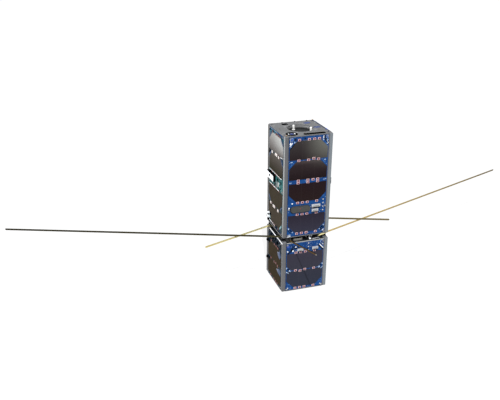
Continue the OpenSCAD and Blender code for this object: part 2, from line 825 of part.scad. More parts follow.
module antenna_board() {
    color("darkslategray") {
        difference() {
            translate([0, 0, lid_top]) linear_extrude(antenna_board_t) difference() {
                plate_outline(half - plate_clear);
                at_standoffs() circle(standoff_r + standoff_clear);
                at_plate_screws() circle(plate_head_r + plate_clear);
                circle(collar_r - collar_wall);
            }
            at_exits(0) translate([0, 0, lid_top - low_tape_z - 1]) at_clamp_screws()
                cylinder(antenna_board_t + 2, r = clamp_screw_r + shank_clear);
        }
        translate([latch_place[0], latch_place[1], antenna_board_top - eps])
            linear_extrude(latch_h) stadium(latch_size);
    }
}

// Flanged collar that keeps the wound tapes off the cables between the bays
module cable_collar() {
    h = base_plate_bottom - antenna_board_top;
    color("gray") translate([0, 0, antenna_board_top]) difference() {
        union() {
            cylinder(h, r = collar_r);
            cylinder(collar_flange_t, r = collar_r + collar_flange);
        }
        translate([0, 0, -1]) cylinder(h + 2, r = collar_r - collar_wall);
        for (a = [45, 135]) rotate([0, 0, a])
            translate([0, 0, h / 2]) cube([3 * collar_r, collar_r / 2, h / 2], center = true);
    }
}

// Nylon blocks that hold the release line, one on each side
module release_blocks() {
    color("white") for (side = [0 : 3]) on_side(side)
        translate([block_place[0], block_place[1], antenna_board_top]) difference() {
            translate([0, 0, block_size[2] / 2]) cube(block_size, center = true);
            translate([0, 0, block_size[2]]) cube([2, block_size[1] + 2, 3], center = true);
        }
}

module at_standoffs() {
    for (x = [-1, 1], y = [-1, 1]) translate([x * standoff_place, y * standoff_place, 0]) children();
}

// Hexagonal pillars between the bays, screwed from the lid below and the base plate above
module bay_standoffs() {
    color("silver") at_standoffs() translate([0, 0, lid_top]) difference() {
        cylinder(base_plate_bottom - lid_top, r = standoff_r, $fn = 6);
        translate([0, 0, -1]) cylinder(base_plate_bottom - lid_top + 2, r = screw_r + shank_clear);
    }
}

// ---------- payload end ----------

module at_well_lugs() {
    for (a = well_lug_angles) rotate([0, 0, a]) translate([well_lug_circle, 0, 0]) children();
}

module payload_well() {
    outer = well_r + well_wall;
    color("gray") difference() {
        union() {
            translate([0, 0, well_bottom]) cylinder(well_depth, r = outer, $fn = 96);
            for (a = well_lug_angles) rotate([0, 0, a]) translate([0, 0, top_plate_bottom - well_lug_t])
                linear_extrude(well_lug_t) {
                    translate([well_lug_circle, 0]) circle(well_lug_r);
                    translate([0, -well_lug_r]) square([well_lug_circle, 2 * well_lug_r]);
                }
        }
        translate([0, 0, well_bottom + well_floor]) cylinder(well_depth, r = well_r, $fn = 96);
        at_well_lugs() translate([0, 0, top_plate_bottom - well_lug_t - 1])
            cylinder(well_lug_t + 2, r = screw_r + shank_clear);
    }
}

module probes() {
    color("white") for (p = probe_places) translate([p[0], p[1], well_bottom + well_floor]) {
        cylinder(probe_h - probe_r, r = probe_r);
        translate([0, 0, probe_h - probe_r]) sphere(probe_r);
        cylinder(1, r = probe_r + 1);
    }
}

module top_sun_sensor() {
    color("black") translate([eye_place[0], eye_place[1], top_plate_bottom]) {
        translate([0, 0, -eye_base_t]) cylinder(eye_base_t, r = eye_base_r);
        translate([0, 0, -eps]) cylinder(plate_t / 2, r = eye_r);
        translate([0, 0, plate_t / 2 - eps]) cylinder(plate_t / 2, eye_r, eye_r * 0.6);
    }
}

module port_plugs() {
    color("royalblue") for (p = plug_places) translate([p[0], p[1], top_plate_bottom]) {
        linear_extrude(plate_t - plug_clear) stadium(plug_size);
        translate([0, 0, -plug_rim]) linear_extrude(plug_rim) stadium(plug_size + [2, 2] * plug_rim);
    }
}

// ---------- kill switches ----------

module plunger() {
    translate([-rail_centre, -rail_centre, plunger_bottom]) {
        cylinder(plunger_l - plunger_r / 2, r = plunger_r);
        translate([0, 0, plunger_l - plunger_r / 2]) cylinder(plunger_r / 2, plunger_r, plunger_r / 2);
    }
}

module plunger_front_left() { color("goldenrod") plunger(); }
module plunger_back_right() { color("goldenrod") rotate([0, 0, 180]) plunger(); }

// Coil spring below a plunger, swept as one closed skin
module spring() {
    sides = 6;
    steps = 12 * spring_turns;
    rise = spring_l - 2 * spring_wire_r;
    ring = [for (i = [0 : steps], j = [0 : sides - 1])
        let (turn = 360 * spring_turns * i / steps, around = 360 * j / sides,
            r = spring_coil_r + spring_wire_r * cos(around))
        [r * cos(turn), r * sin(turn), spring_wire_r * (1 + sin(around)) + rise * i / steps]];
    skin = [for (i = [0 : steps - 1], j = [0 : sides - 1])
        let (a = i * sides + j, b = i * sides + (j + 1) % sides) [a, a + sides, b + sides, b]];
    caps = [[for (j = [0 : sides - 1]) j], [for (j = [sides - 1 : -1 : 0]) steps * sides + j]];
    translate([-rail_centre, -rail_centre, spring_bottom]) polyhedron(ring, concat(skin, caps));
}

module spring_front_left() { color("silver") spring(); }
module spring_back_right() { color("silver") rotate([0, 0, 180]) spring(); }

// Microswitch beside each sprung rail
module switch_bodies() {
    color("black") for (a = [0, 180]) rotate([0, 0, a])
        translate([-rail_in, -board_half_y, switch_z]) cube(switch_size);
}

// ---------- board stack ----------

module stack_rods() {
    color("silver") at_rods() {
        translate([0, 0, bottom_plate_top]) cylinder(lid_bottom - bottom_plate_top, r = rod_r);
        translate([0, 0, base_plate_top]) cylinder(upper_rod_top - base_plate_top, r = rod_r);
    }
}

module spacer(z0, z1) {
    translate([0, 0, z0]) difference() {
        cylinder(z1 - z0, r = spacer_r);
        translate([0, 0, -1]) cylinder(z1 - z0 + 2, r = rod_r + rod_clear);
    }
}

module stack_spacers() {
    color("silver") at_rods() {
        spacer(bottom_plate_top, lower_boards[0]);
        for (i = [1 : len(lower_boards) - 1]) spacer(lower_boards[i - 1] + board_t, lower_boards[i]);
        spacer(lower_boards[len(lower_boards) - 1] + board_t, lid_bottom);
        spacer(base_plate_top, upper_boards[0]);
        spacer(upper_boards[0] + board_t, upper_boards[1]);
        spacer(upper_boards[1] + board_t, upper_rod_top);
    }
}

// Board with the stack's four rod holes, and chips given as [x, y, width, depth, height]
module stack_board(z, chips) {
    translate([0, 0, z]) {
        difference() {
            translate([-board_half_x, -board_half_y, 0])
                cube([2 * board_half_x, 2 * board_half_y, board_t]);
            at_rods() translate([0, 0, -1]) cylinder(board_t + 2, r = rod_r + rod_clear);
        }
        for (c = chips) translate([c[0] - c[2] / 2, c[1] - c[3] / 2, board_t - eps]) cube([c[2], c[3], c[4]]);
    }
}

module battery_board() {
    color("seagreen") stack_board(battery_board_z, []);
}

module battery_cells() {
    color("mediumpurple") for (i = [-1.5 : 1.5])
        translate([i * (2 * battery_r + 0.2), -battery_l / 2, battery_board_z + board_t + battery_r])
            rotate([-90, 0, 0]) cylinder(battery_l, r = battery_r);
}

module radio_board() {
    color("seagreen") stack_board(radio_board_z, [[-12, -8, 44, 38, 8], [24, -14, 12, 10, 3], [24, 6, 9, 9, 2]]);
}

module computer_board() {
    color("seagreen") stack_board(computer_board_z, [[0, 0, 22, 22, 2.4], [-24, -16, 14, 9, 1.6],
        [22, -18, 10, 16, 1.6], [-24, 10, 9, 9, 4], [20, 14, 16, 8, 3]]);
}

module attitude_board() {
    color("seagreen") stack_board(attitude_board_z, []);
}

// Three small reaction wheels at right angles in one box
module wheel_unit() {
    box_z = attitude_board_z + board_t;
    color("dimgray") translate([0, 0, box_z]) difference() {
        translate([-wheel_box / 2, -wheel_box / 2, 0]) cube([wheel_box, wheel_box, wheel_h]);
        for (a = [0, 90]) rotate([0, 0, a]) translate([0, -wheel_box / 2, wheel_h / 2])
            rotate([90, 0, 0]) wheel_groove();
        translate([0, 0, wheel_h]) wheel_groove();
    }
}

// Ring cut into a face at height 0 from above
module wheel_groove() {
    translate([0, 0, -wheel_groove_d]) difference() {
        cylinder(wheel_groove_d + 1, r = wheel_r);
        translate([0, 0, -1]) cylinder(wheel_groove_d + 3, r = wheel_r - wheel_groove_w);
    }
}

module payload_board() {
    color("seagreen") stack_board(payload_board_z, []);
}

// Closed box of the payload, from its board up to the well, with cooling grooves round it
module payload_housing() {
    z0 = payload_board_z + board_t;
    h = well_bottom - z0;
    pitch = h / (housing_grooves + 1);
    color("dimgray") translate([0, 0, z0]) difference() {
        union() {
            translate([0, 0, h / 2]) cube([housing_w, housing_w, h], center = true);
            translate([0, 0, housing_flange_t / 2])
                cube([housing_w + housing_flange, housing_w, housing_flange_t], center = true);
        }
        for (i = [1 : housing_grooves]) translate([0, 0, i * pitch]) difference() {
            cube([2 * housing_w, 2 * housing_w, pitch / 3], center = true);
            cube([housing_w - 3, housing_w - 3, pitch], center = true);
        }
    }
}

module header(z0, z1) {
    translate([-header_size[0] / 2, header_y, z0]) cube([header_size[0], header_size[1], z1 - z0]);
}

module stack_headers() {
    color("black") {
        for (i = [1 : len(lower_boards) - 1]) header(lower_boards[i - 1] + board_t, lower_boards[i]);
        header(upper_boards[0] + board_t, upper_boards[1]);
    }
}

// ---------- nodes ----------

lower_left_frame();
lower_right_frame();
upper_left_frame();
upper_right_frame();
bottom_plate();
lower_lid();
upper_base_plate();
top_plate();
mid_ribs();
upper_panel(0);  // front_upper_panel
upper_panel(1);  // right_upper_panel
upper_panel(2);  // back_upper_panel
upper_panel(3);  // left_upper_panel
lower_panel(0);  // front_lower_panel
lower_panel(1);  // right_lower_panel
lower_panel(2);  // back_lower_panel
lower_panel(3);  // left_lower_panel
cells(0);  // front_cells
cells(1);  // right_cells
cells(2);  // back_cells
cells(3);  // left_cells
bypass_diodes();
cell_tabs();
panel_connectors();
umbilical_cover();
panel_screws();
plate_screws();
sun_sensor();
edge_sensors();
antenna_board();
cable_collar();
release_blocks();
bay_standoffs();
antenna_clamps();
clamp_screws();
vhf_antenna_left();
vhf_antenna_right();
uhf_antenna_left();
uhf_antenna_right();
front_whip();
payload_well();
payload_housing();
probes();
top_sun_sensor();
port_plugs();
plunger_front_left();
plunger_back_right();
spring_front_left();
spring_back_right();
switch_bodies();
stack_rods();
stack_spacers();
stack_headers();
battery_board();
battery_cells();
radio_board();
computer_board();
attitude_board();
wheel_unit();
payload_board();
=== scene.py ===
import json
from math import copysign, cos, pi, radians, sin

import bmesh
import bpy
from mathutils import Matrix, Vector


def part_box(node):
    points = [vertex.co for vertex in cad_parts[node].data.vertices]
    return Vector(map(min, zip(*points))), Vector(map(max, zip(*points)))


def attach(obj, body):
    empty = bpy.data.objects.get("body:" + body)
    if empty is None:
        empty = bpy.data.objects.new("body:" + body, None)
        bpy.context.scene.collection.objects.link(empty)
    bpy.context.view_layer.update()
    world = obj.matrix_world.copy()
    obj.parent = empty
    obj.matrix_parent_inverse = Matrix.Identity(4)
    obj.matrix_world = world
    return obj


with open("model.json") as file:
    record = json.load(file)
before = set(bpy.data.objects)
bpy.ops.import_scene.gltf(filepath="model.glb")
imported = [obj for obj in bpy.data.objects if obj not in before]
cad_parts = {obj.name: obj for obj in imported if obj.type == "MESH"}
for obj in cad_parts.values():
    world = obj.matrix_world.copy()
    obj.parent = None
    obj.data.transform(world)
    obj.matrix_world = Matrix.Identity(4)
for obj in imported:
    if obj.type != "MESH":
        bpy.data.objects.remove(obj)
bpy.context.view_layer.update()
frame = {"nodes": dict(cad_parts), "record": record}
nodes = frame["nodes"]
slots = {row["node"]: row["material_slot"] for row in frame["record"]["subparts"]}
scene = bpy.context.scene
scene.view_settings.view_transform = "Standard"

MM = 0.001
TURN = 2 * pi
FRONT, RIGHT, BACK, LEFT = range(4)  # the body's four faces

# The camera was solved from the body's corners.
CAMERA_PLACE = (-0.45362, -1.12082, 0.68829)
CAMERA_PITCH, CAMERA_YAW = 90 - 22.68, -17.31
CAMERA_LENS, CAMERA_SENSOR = 45.056, 36
SUN_FROM, SUN_ENERGY, SUN_ANGLE = (-0.27, -1, 1.5), 1.02 * pi, 0.5
SOFTBOX_PLACE, SOFTBOX_AIM = (-1.7, -0.1, 0.55), (0, 0, 0.17)
SOFTBOX_ENERGY, SOFTBOX_SIZE = 25, 0.9
DOME_STRENGTH = 0.4  # what lights the object; the rays that look at it see plain white
FLOOR_GREY = 0.62  # what the floor throws back onto the object
FLOOR_GLOW = 0.86  # share of the seen floor that glows white; the rest takes the shadow
FLOOR_REACH, FLOOR_DROP = 30, 0.0002

# In millimetres, as is everything that Shape builds.
HALF = 50  # half the body's width
STOP_SPAN = 350  # the height that the lists of colours by height are spread over
TAPE_CANT, TAPE_ROOT = 20.8, 33.8  # the tapes' angle, and how far from a face's middle they start
BAY_FLOOR, COLLAR = 115.5, 118.2  # what the bay's parts stand on, and where its cables leave
EYE = (-30.5, -34.0)  # the round hole in the top plate


def linear(value):
    """Makes the three numbers of a colour on screen, 0 to 255, what sockets take."""
    if not isinstance(value, tuple) or len(value) != 3:
        return value
    shares = [v / 255 for v in value]
    return (*(v / 12.92 if v <= 0.04045 else ((v + 0.055) / 1.055) ** 2.4 for v in shares), 1.0)


def shade(colour, k):
    """The colour made k times as bright."""
    return (*(min(1.0, v * k) for v in linear(colour)[:3]), 1.0)


# ------ camera and light

camera_data = bpy.data.cameras.new("camera")
camera_data.lens = CAMERA_LENS
camera_data.sensor_width = CAMERA_SENSOR
camera_data.clip_start, camera_data.clip_end = 0.05, 100
camera = bpy.data.objects.new("camera", camera_data)
camera.location = CAMERA_PLACE
camera.rotation_euler = (radians(CAMERA_PITCH), 0, radians(CAMERA_YAW))
scene.collection.objects.link(camera)
scene.camera = camera


def seen_rays(tree):
    """1 for the rays that look straight or by reflection or glass at what is behind the object."""
    path = tree.nodes.new("ShaderNodeLightPath")
    seen = path.outputs["Is Camera Ray"]
    for other in ("Is Glossy Ray", "Is Transmission Ray"):
        either = tree.nodes.new("ShaderNodeMath")
        either.operation = "MAXIMUM"
        tree.links.new(seen, either.inputs[0])
        tree.links.new(path.outputs[other], either.inputs[1])
        seen = either.outputs[0]
    return seen


def grey_shader(tree, kind, grey, strength=None):
    n = tree.nodes.new("ShaderNode" + kind)
    n.inputs["Color"].default_value = (grey, grey, grey, 1)
    if strength is not None:
        n.inputs["Strength"].default_value = strength
    return n.outputs[0]


def mix_shaders(tree, factor, first, second):
    n = tree.nodes.new("ShaderNodeMixShader")
    if isinstance(factor, float):
        n.inputs[0].default_value = factor
    else:
        tree.links.new(factor, n.inputs[0])
    tree.links.new(first, n.inputs[1])
    tree.links.new(second, n.inputs[2])
    return n.outputs[0]


world = bpy.data.worlds.new("studio")
scene.world = world
world.use_nodes = True
tree = world.node_tree
tree.nodes.clear()
dome = grey_shader(tree, "Background", 1, DOME_STRENGTH)
white = grey_shader(tree, "Background", 1, 1.0)
world_out = tree.nodes.new("ShaderNodeOutputWorld")
tree.links.new(mix_shaders(tree, seen_rays(tree), dome, white), world_out.inputs["Surface"])


def add_light(name, kind, place, aim, energy):
    data = bpy.data.lights.new(name, kind)
    data.energy = energy
    o = bpy.data.objects.new(name, data)
    o.location = place
    o.rotation_euler = (Vector(aim) - Vector(place)).to_track_quat("-Z", "Y").to_euler()
    scene.collection.objects.link(o)
    return data


add_light("key", "SUN", SUN_FROM, (0, 0, 0), SUN_ENERGY).angle = radians(SUN_ANGLE)
softbox = add_light("left_softbox", "AREA", SOFTBOX_PLACE, SOFTBOX_AIM, SOFTBOX_ENERGY)
softbox.size = SOFTBOX_SIZE

# ------ node materials


class Mat:
    """A material whose detail is made of nodes from the surface's own place, in millimetres."""

    def __init__(self, name):
        self.m = bpy.data.materials.new(name)
        self.m.use_nodes = True
        self.t = self.m.node_tree
        self.t.nodes.clear()
        out = self.node("OutputMaterial")
        self.b = self.node("BsdfPrincipled")
        self.t.links.new(self.b.outputs[0], out.inputs["Surface"])
        coord = self.node("TexCoord")
        scaled = self.node("VectorMath")
        scaled.operation = "SCALE"
        scaled.inputs["Scale"].default_value = 1 / MM
        self.t.links.new(coord.outputs["Object"], scaled.inputs[0])
        self.mm = scaled.outputs[0]
        split = self.node("SeparateXYZ")
        self.t.links.new(self.mm, split.inputs[0])
        self.x, self.y, self.z = split.outputs
        self.relief = None

    def node(self, kind):
        return self.t.nodes.new("ShaderNode" + kind)

    def put(self, socket, value):
        """Links the value if it is another node's, or sets it, three numbers as a colour."""
        if isinstance(value, bpy.types.NodeSocket):
            self.t.links.new(value, socket)
        else:
            socket.default_value = linear(value)

    def set(self, **values):
        for key, value in values.items():
            self.put(self.b.inputs[key.replace("_", " ")], value)

    def specular(self, level):
        self.b.inputs["Specular IOR Level"].default_value = level

    def base(self):
        """What colours the material so far."""
        return self.b.inputs["Base Color"].links[0].from_socket

    def math(self, op, a, b=0.0):
        n = self.node("Math")
        n.operation = op
        for socket, value in zip(n.inputs, (a, b)):
            self.put(socket, value)
        return n.outputs[0]

    def times(self, *values):
        product = values[0]
        for value in values[1:]:
            product = self.math("MULTIPLY", product, value)
        return product

    def mix(self, fac, a, b):
        """Colour a where fac is 0 and colour b where it is 1."""
        n = self.node("Mix")
        n.data_type = "RGBA"
        self.put(n.inputs[0], fac)
        self.put(n.inputs[6], a)
        self.put(n.inputs[7], b)
        return n.outputs[2]

    def stretch(self, *by):
        n = self.node("VectorMath")
        n.operation = "MULTIPLY"
        self.put(n.inputs[0], self.mm)
        n.inputs[1].default_value = by
        return n.outputs[0]

    def noise(self, scale, detail=3, rough=0.55, vec=None):
        n = self.node("TexNoise")
        n.inputs["Scale"].default_value = scale
        n.inputs["Detail"].default_value = detail
        n.inputs["Roughness"].default_value = rough
        self.put(n.inputs["Vector"], vec or self.mm)
        return n.outputs["Fac"]

    def cells(self, scale, out, vec):
        n = self.node("TexVoronoi")
        n.inputs["Scale"].default_value = scale
        self.put(n.inputs["Vector"], vec)
        return n.outputs[out]

    def ramp(self, fac, stops):
        n = self.node("ValToRGB")
        self.put(n.inputs[0], fac)
        marks = n.color_ramp.elements
        while len(marks) < len(stops):
            marks.new(0.5)
        for mark, (place, colour) in zip(marks, stops):
            mark.position, mark.color = place, linear(colour)
        return n.outputs[0]

    def range(self, v, a, b, lo=0.0, hi=1.0, how="LINEAR"):
        """lo where v is a, hi where it is b, and held beyond them."""
        n = self.node("MapRange")
        n.interpolation_type = how
        for socket, value in zip(n.inputs, (v, a, b, lo, hi)):
            self.put(socket, value)
        return n.outputs[0]

    def band(self, v, a, b, soft):
        """1 where v lies between a and b."""
        return self.times(self.range(v, a - soft, a + soft),
                          self.range(v, b - soft, b + soft, 1, 0))

    def lines(self, v, pitch, width, soft=0.3):
        """1 on lines of that width, repeated along v."""
        at = self.math("PINGPONG", v, pitch / 2)
        return self.range(at, width / 2 * (1 - soft), width / 2 * (1 + soft), 1, 0)

    def flank(self, lo=49.3, hi=49.4):
        """1 on the left and the right face, 0 on the front and the back."""
        return self.range(self.math("ABSOLUTE", self.x), lo, hi)

    def rough(self, v, lo, hi):
        """Roughness from lo to hi with a texture's value."""
        return self.range(v, 0.3, 0.7, lo, hi)

    def bump(self, height, strength, distance):
        n = self.node("Bump")
        n.inputs["Strength"].default_value = strength
        n.inputs["Distance"].default_value = distance * MM
        self.put(n.inputs["Height"], height)
        if self.relief is not None:
            self.t.links.new(self.relief, n.inputs["Normal"])
        self.relief = n.outputs[0]
        self.t.links.new(self.relief, self.b.inputs["Normal"])


def metal(name, colour, rough=0.4, metallic=0.75, along="z", streak=0.10, spots=0.08):
    """Fine-grained anodised or brushed metal with streaks along one axis."""
    m = Mat(name)
    stretch = {"x": (0.05, 2, 2), "y": (2, 0.05, 2), "z": (2, 2, 0.05), "": (1, 1, 1)}[along]
    grain = m.noise(1.1, 4, 0.6, m.stretch(*stretch))
    cloud = m.noise(0.035, 3, 0.5)
    fine = m.noise(2.6, 2, 0.6)
    c = m.mix(m.range(cloud, 0.3, 0.7), shade(colour, 1 - spots), shade(colour, 1 + spots))
    c = m.mix(m.range(grain, 0.3, 0.7, 0, streak * 2), c, shade(colour, 0.55))
    roughness = m.range(grain, 0.2, 0.8, rough - 0.07, rough + 0.09)
    m.set(Base_Color=c, Metallic=metallic, Roughness=roughness)
    m.bump(fine, 0.25, 0.02)
    return m


def plastic(name, colour, rough=0.5, grain=0.10, bump=0.3, scale=1.4, spec=0.5):
    """Moulded plastic or paint with a fine texture."""
    m = Mat(name)
    fine = m.noise(scale, 4, 0.6)
    cloud = m.noise(0.06, 2)
    c = m.mix(m.range(cloud, 0.3, 0.7), shade(colour, 1 - grain), shade(colour, 1 + grain))
    c = m.mix(m.range(fine, 0.35, 0.7, 0, 0.35), c, shade(colour, 0.78))
    m.set(Base_Color=c, Roughness=m.rough(fine, rough - 0.06, rough + 0.1))
    m.specular(spec)
    m.bump(fine, bump, 0.03)
    return m


def board(name, base, copper, dark, across="x", rough=0.32, spec=0.1, stops=None, ring=0.75):
    """Solder mask over copper: poured areas, fine tracks both ways, ringed vias.

    stops gives the mask's and the copper's colour by height instead of base and copper."""
    m = Mat(name)
    u = m.x if across == "x" else m.y
    if stops:
        wavy = m.math("ADD", m.z, m.range(m.noise(0.12, 2), 0.3, 0.7, -2, 2))
        height = m.range(wavy, 0, STOP_SPAN)
        base = m.ramp(height, [(z / STOP_SPAN, a) for z, a, b in stops])
        copper = m.ramp(height, [(z / STOP_SPAN, b) for z, a, b in stops])
    n = m.node("CombineXYZ")
    m.put(n.inputs[0], u)
    m.put(n.inputs[1], m.z)
    flat = n.outputs[0]
    pour = m.range(m.cells(0.085, "Color", flat), 0.3, 0.72)
    wander = m.math("SNAP", m.times(m.noise(0.05, 2, 0.5, flat), 9), 1.4)
    upright = m.lines(m.math("ADD", u, wander), 2.1, 0.42)
    crosswise = m.lines(m.math("ADD", m.z, wander), 2.8, 0.42)
    tracks = m.mix(m.range(m.noise(0.07, 2, 0.5, flat), 0.5, 0.53), upright, crosswise)
    c = m.mix(m.times(pour, 0.55), base, copper)
    c = m.mix(m.times(tracks, 0.4), c, copper)
    spot = m.cells(0.24, "Distance", flat)
    c = m.mix(m.times(m.band(spot, 0.10, 0.17, 0.02), ring), c, (170, 188, 200))
    c = m.mix(m.range(spot, 0.07, 0.10, 0.9, 0), c, dark)
    m.set(Base_Color=c, Roughness=m.rough(m.noise(0.5), rough - 0.05, rough + 0.12))
    m.specular(spec)
    m.bump(tracks, 0.35, 0.04)
    m.bump(m.noise(1.2), 0.12, 0.03)
    return m


def cell(name, across, stops, painted_reflection, reflection_span, reflection_from, spec):
    """Solar cell: colour by height, fine fingers, and a painted reflection that pales the top one
    to one side.
    """
    m = Mat(name)
    u = m.x if across == "x" else m.y
    height = m.range(m.z, 0, STOP_SPAN)
    c = m.ramp(height, [(z / STOP_SPAN, colour) for z, colour in stops])
    cloud = m.noise(0.03, 4, 0.6)
    c = m.mix(m.range(cloud, 0.3, 0.7, 0, 0.12), c, (20, 22, 38))
    # painted reflection: paler towards one side and towards the top
    pale = m.times(m.range(u, *reflection_span, how="SMOOTHSTEP"),
                   m.range(m.z, reflection_from, 332, how="SMOOTHSTEP"))
    c = m.mix(pale, c, painted_reflection)
    fingers = m.lines(u, 1.25, 0.16, 0.5)
    c = m.mix(m.times(fingers, 0.05), c, (168, 160, 152))
    bus = m.lines(m.math("ADD", u, 12.9), 26.6, 0.5)
    c = m.mix(m.times(bus, 0.03), c, (150, 146, 142))
    m.set(Base_Color=c, Roughness=m.rough(cloud, 0.3, 0.4), Coat_Weight=m.times(pale, 0.3))
    m.specular(spec)
    m.b.inputs["Coat Roughness"].default_value = 0.15
    m.bump(fingers, 0.15, 0.02)
    m.bump(m.noise(3.5, 2, 0.6), 0.05, 0.02)
    return m


def tape(name, root, tip, along, length, rough, metallic, scuffs, spec):
    """Curved spring tape: rolled grain along it, its colour from root to tip, and small scuffs."""
    m = Mat(name)
    dx, dy, x0, y0 = along
    run = m.math("ADD", m.times(m.math("SUBTRACT", m.x, x0), dx),
                 m.times(m.math("SUBTRACT", m.y, y0), dy))
    uneven = m.range(m.noise(0.05, 3, 0.6), 0.3, 0.7, -0.05, 0.05)
    share = m.math("ADD", m.range(run, 0, length), uneven)
    c = m.ramp(share, [(0.0, root), (0.3, shade(root, 0.8)), (1.0, tip)])
    scuff = m.noise(0.9, 4, 0.7)
    c = m.mix(m.range(scuff, 0.56, 0.72, 0, scuffs), c, shade(root, 0.5))
    m.set(Base_Color=c, Metallic=metallic, Roughness=m.rough(scuff, rough - 0.06, rough + 0.1))
    m.specular(spec)
    m.bump(m.noise(1.5, 3, 0.6, m.stretch(1, 1, 4)), 0.2, 0.02)
    return m


# ------ the record's finishes

M = {}  # the finish of each slot
special = {}  # nodes whose look differs from their slot's

rail = M["frame_aluminium"] = metal("frame_aluminium", (102, 103, 106), 0.46, 0.4, "z", 0.09)
rail.specular(0.25)
on_flank = rail.flank(49.6, 49.8)
# painted light and shade on the rails' side faces: lighter towards the front and higher up, darker
# on the back rails and below the gap
ahead = rail.times(rail.range(rail.y, -40, -41), rail.range(rail.z, 90, 210, 0.0, 0.9))
c = rail.mix(rail.times(on_flank, ahead), rail.base(), (136, 139, 139))
c = rail.mix(rail.times(on_flank, rail.range(rail.y, 40, 41)), c, (50, 48, 43))
c = rail.mix(rail.times(on_flank, rail.range(rail.z, 118, 112)), c, (84, 84, 86))
# the light stripe along the front edge, which is a reflection in the photo
stripe = rail.times(rail.band(rail.y, -45.4, -41.2, 0.3), on_flank)
stripe = rail.times(stripe, rail.range(rail.noise(0.3, 3), 0.3, 0.6, 0.6, 1))
c = rail.mix(rail.times(stripe, rail.range(rail.z, 60, 180, 0.35, 1)), c, (210, 212, 210))
# painted light: the right front rail's front face lighter and bluish
right_front = rail.times(rail.range(rail.x, 40, 41), rail.range(rail.y, -49.6, -49.8))
c = rail.mix(right_front, c, (122, 129, 135))
rail.set(Base_Color=c)

plate = M["plate_aluminium"] = Mat("plate_aluminium")
slant = plate.math("ADD", plate.times(plate.x, 0.92), plate.times(plate.y, 0.39))
mill = plate.lines(slant, 1.3, 0.5, 0.9)
c = plate.mix(plate.range(plate.noise(0.04, 3), 0.3, 0.7), (94, 95, 97), (108, 110, 112))
c = plate.mix(plate.times(mill, 0.14), c, (134, 136, 138))
worn = plate.range(plate.noise(1.8, 4, 0.65), 0.5, 0.75, 0, 0.35)
c = plate.mix(worn, c, (76, 77, 79))
plate.set(Base_Color=c, Metallic=0.4, Roughness=plate.rough(plate.noise(0.8), 0.42, 0.58))
plate.bump(mill, 0.15, 0.02)
plate.bump(plate.noise(2.2), 0.2, 0.02)

M["panel_board"] = board("panel_board_front", (15, 56, 112), (22, 76, 138), (10, 24, 52))
# height, solder mask, copper
side_board_stops = [
    (2, (18, 34, 50), (26, 54, 68)), (84, (8, 19, 31), (13, 32, 45)),
    (112, (9, 24, 40), (16, 38, 54)), (127, (26, 38, 42), (36, 54, 58)),
    (136, (28, 42, 48), (38, 58, 62)), (212, (30, 46, 54), (38, 62, 68)),
    (220, (32, 78, 80), (50, 96, 94)), (248, (34, 82, 84), (50, 98, 96)),
    (254, (26, 38, 54), (34, 52, 70)), (322, (26, 46, 66), (36, 70, 88)),
    (330, (32, 78, 92), (48, 98, 108)), (336, (14, 42, 84), (22, 60, 104)),
]
side_board = board("panel_board_side", None, None, (12, 34, 44), "y",
                   spec=0.02, stops=side_board_stops, ring=0.3)
for bay in ("upper", "lower"):
    for side in ("left", "right"):
        special[f"{side}_{bay}_panel"] = side_board

front_cell_stops = [
    (5, (46, 50, 63)), (45, (47, 49, 61)), (50, (52, 53, 64)), (88, (53, 50, 63)),
    (134, (49, 49, 63)), (172, (40, 36, 48)), (203, (34, 23, 22)), (241, (32, 19, 22)),
    (250, (27, 17, 18)), (280, (42, 33, 35)), (288, (66, 57, 58)), (292, (36, 28, 29)),
    (329, (54, 50, 50)),
]
# from z 270 up the side cells pale towards grey: painted reflection on the top cells
side_cell_stops = [
    (5, (52, 45, 33)), (46, (51, 44, 33)), (49, (53, 46, 35)), (88, (53, 46, 35)),
    (136, (60, 55, 46)), (175, (60, 54, 46)), (179, (54, 49, 39)), (217, (56, 50, 41)),
    (250, (42, 40, 30)), (270, (64, 59, 54)), (288, (80, 76, 72)), (292, (86, 82, 79)),
    (310, (118, 115, 114)), (329, (146, 146, 144)),
]
M["solar_cell"] = cell("solar_cell_front", "x", front_cell_stops, (100, 101, 95),
                       (-20, 46), 262, 0.02)
special["left_cells"] = special["right_cells"] = cell(
    "solar_cell_side", "y", side_cell_stops, (160, 162, 160), (36, -44), 288, 0.0)

diode = M["bypass_diode"] = Mat("bypass_diode")
blues = [(0.35, (16, 52, 104)), (0.55, (26, 76, 138)), (0.72, (70, 112, 164))]
diode.set(Base_Color=diode.ramp(diode.noise(0.25, 3), blues),
          Roughness=diode.rough(diode.noise(0.9), 0.25, 0.4))
diode.specular(0.15)
diode.bump(diode.noise(0.8), 0.3, 0.05)

# pink on the front, brown on the sides, and grey there in the rows that caps or shade hide
tab = M["cell_tab"] = Mat("cell_tab")
c = tab.mix(tab.range(tab.noise(0.35, 3), 0.35, 0.65), (188, 150, 154), (208, 184, 186))
c = tab.mix(tab.range(tab.noise(1.6, 3), 0.52, 0.7, 0, 0.5), c, (170, 118, 124))
hidden = tab.band(tab.z, 284, 294, 0.5)
for low in (170, 130):
    hidden = tab.math("MAXIMUM", hidden, tab.band(tab.z, low, low + 10, 0.5))
c = tab.mix(tab.flank(), c, tab.mix(hidden, (96, 54, 48), (44, 44, 46)))
tab.set(Base_Color=c, Roughness=0.35)
tab.specular(0.2)
tab.bump(tab.noise(1.1), 0.35, 0.04)

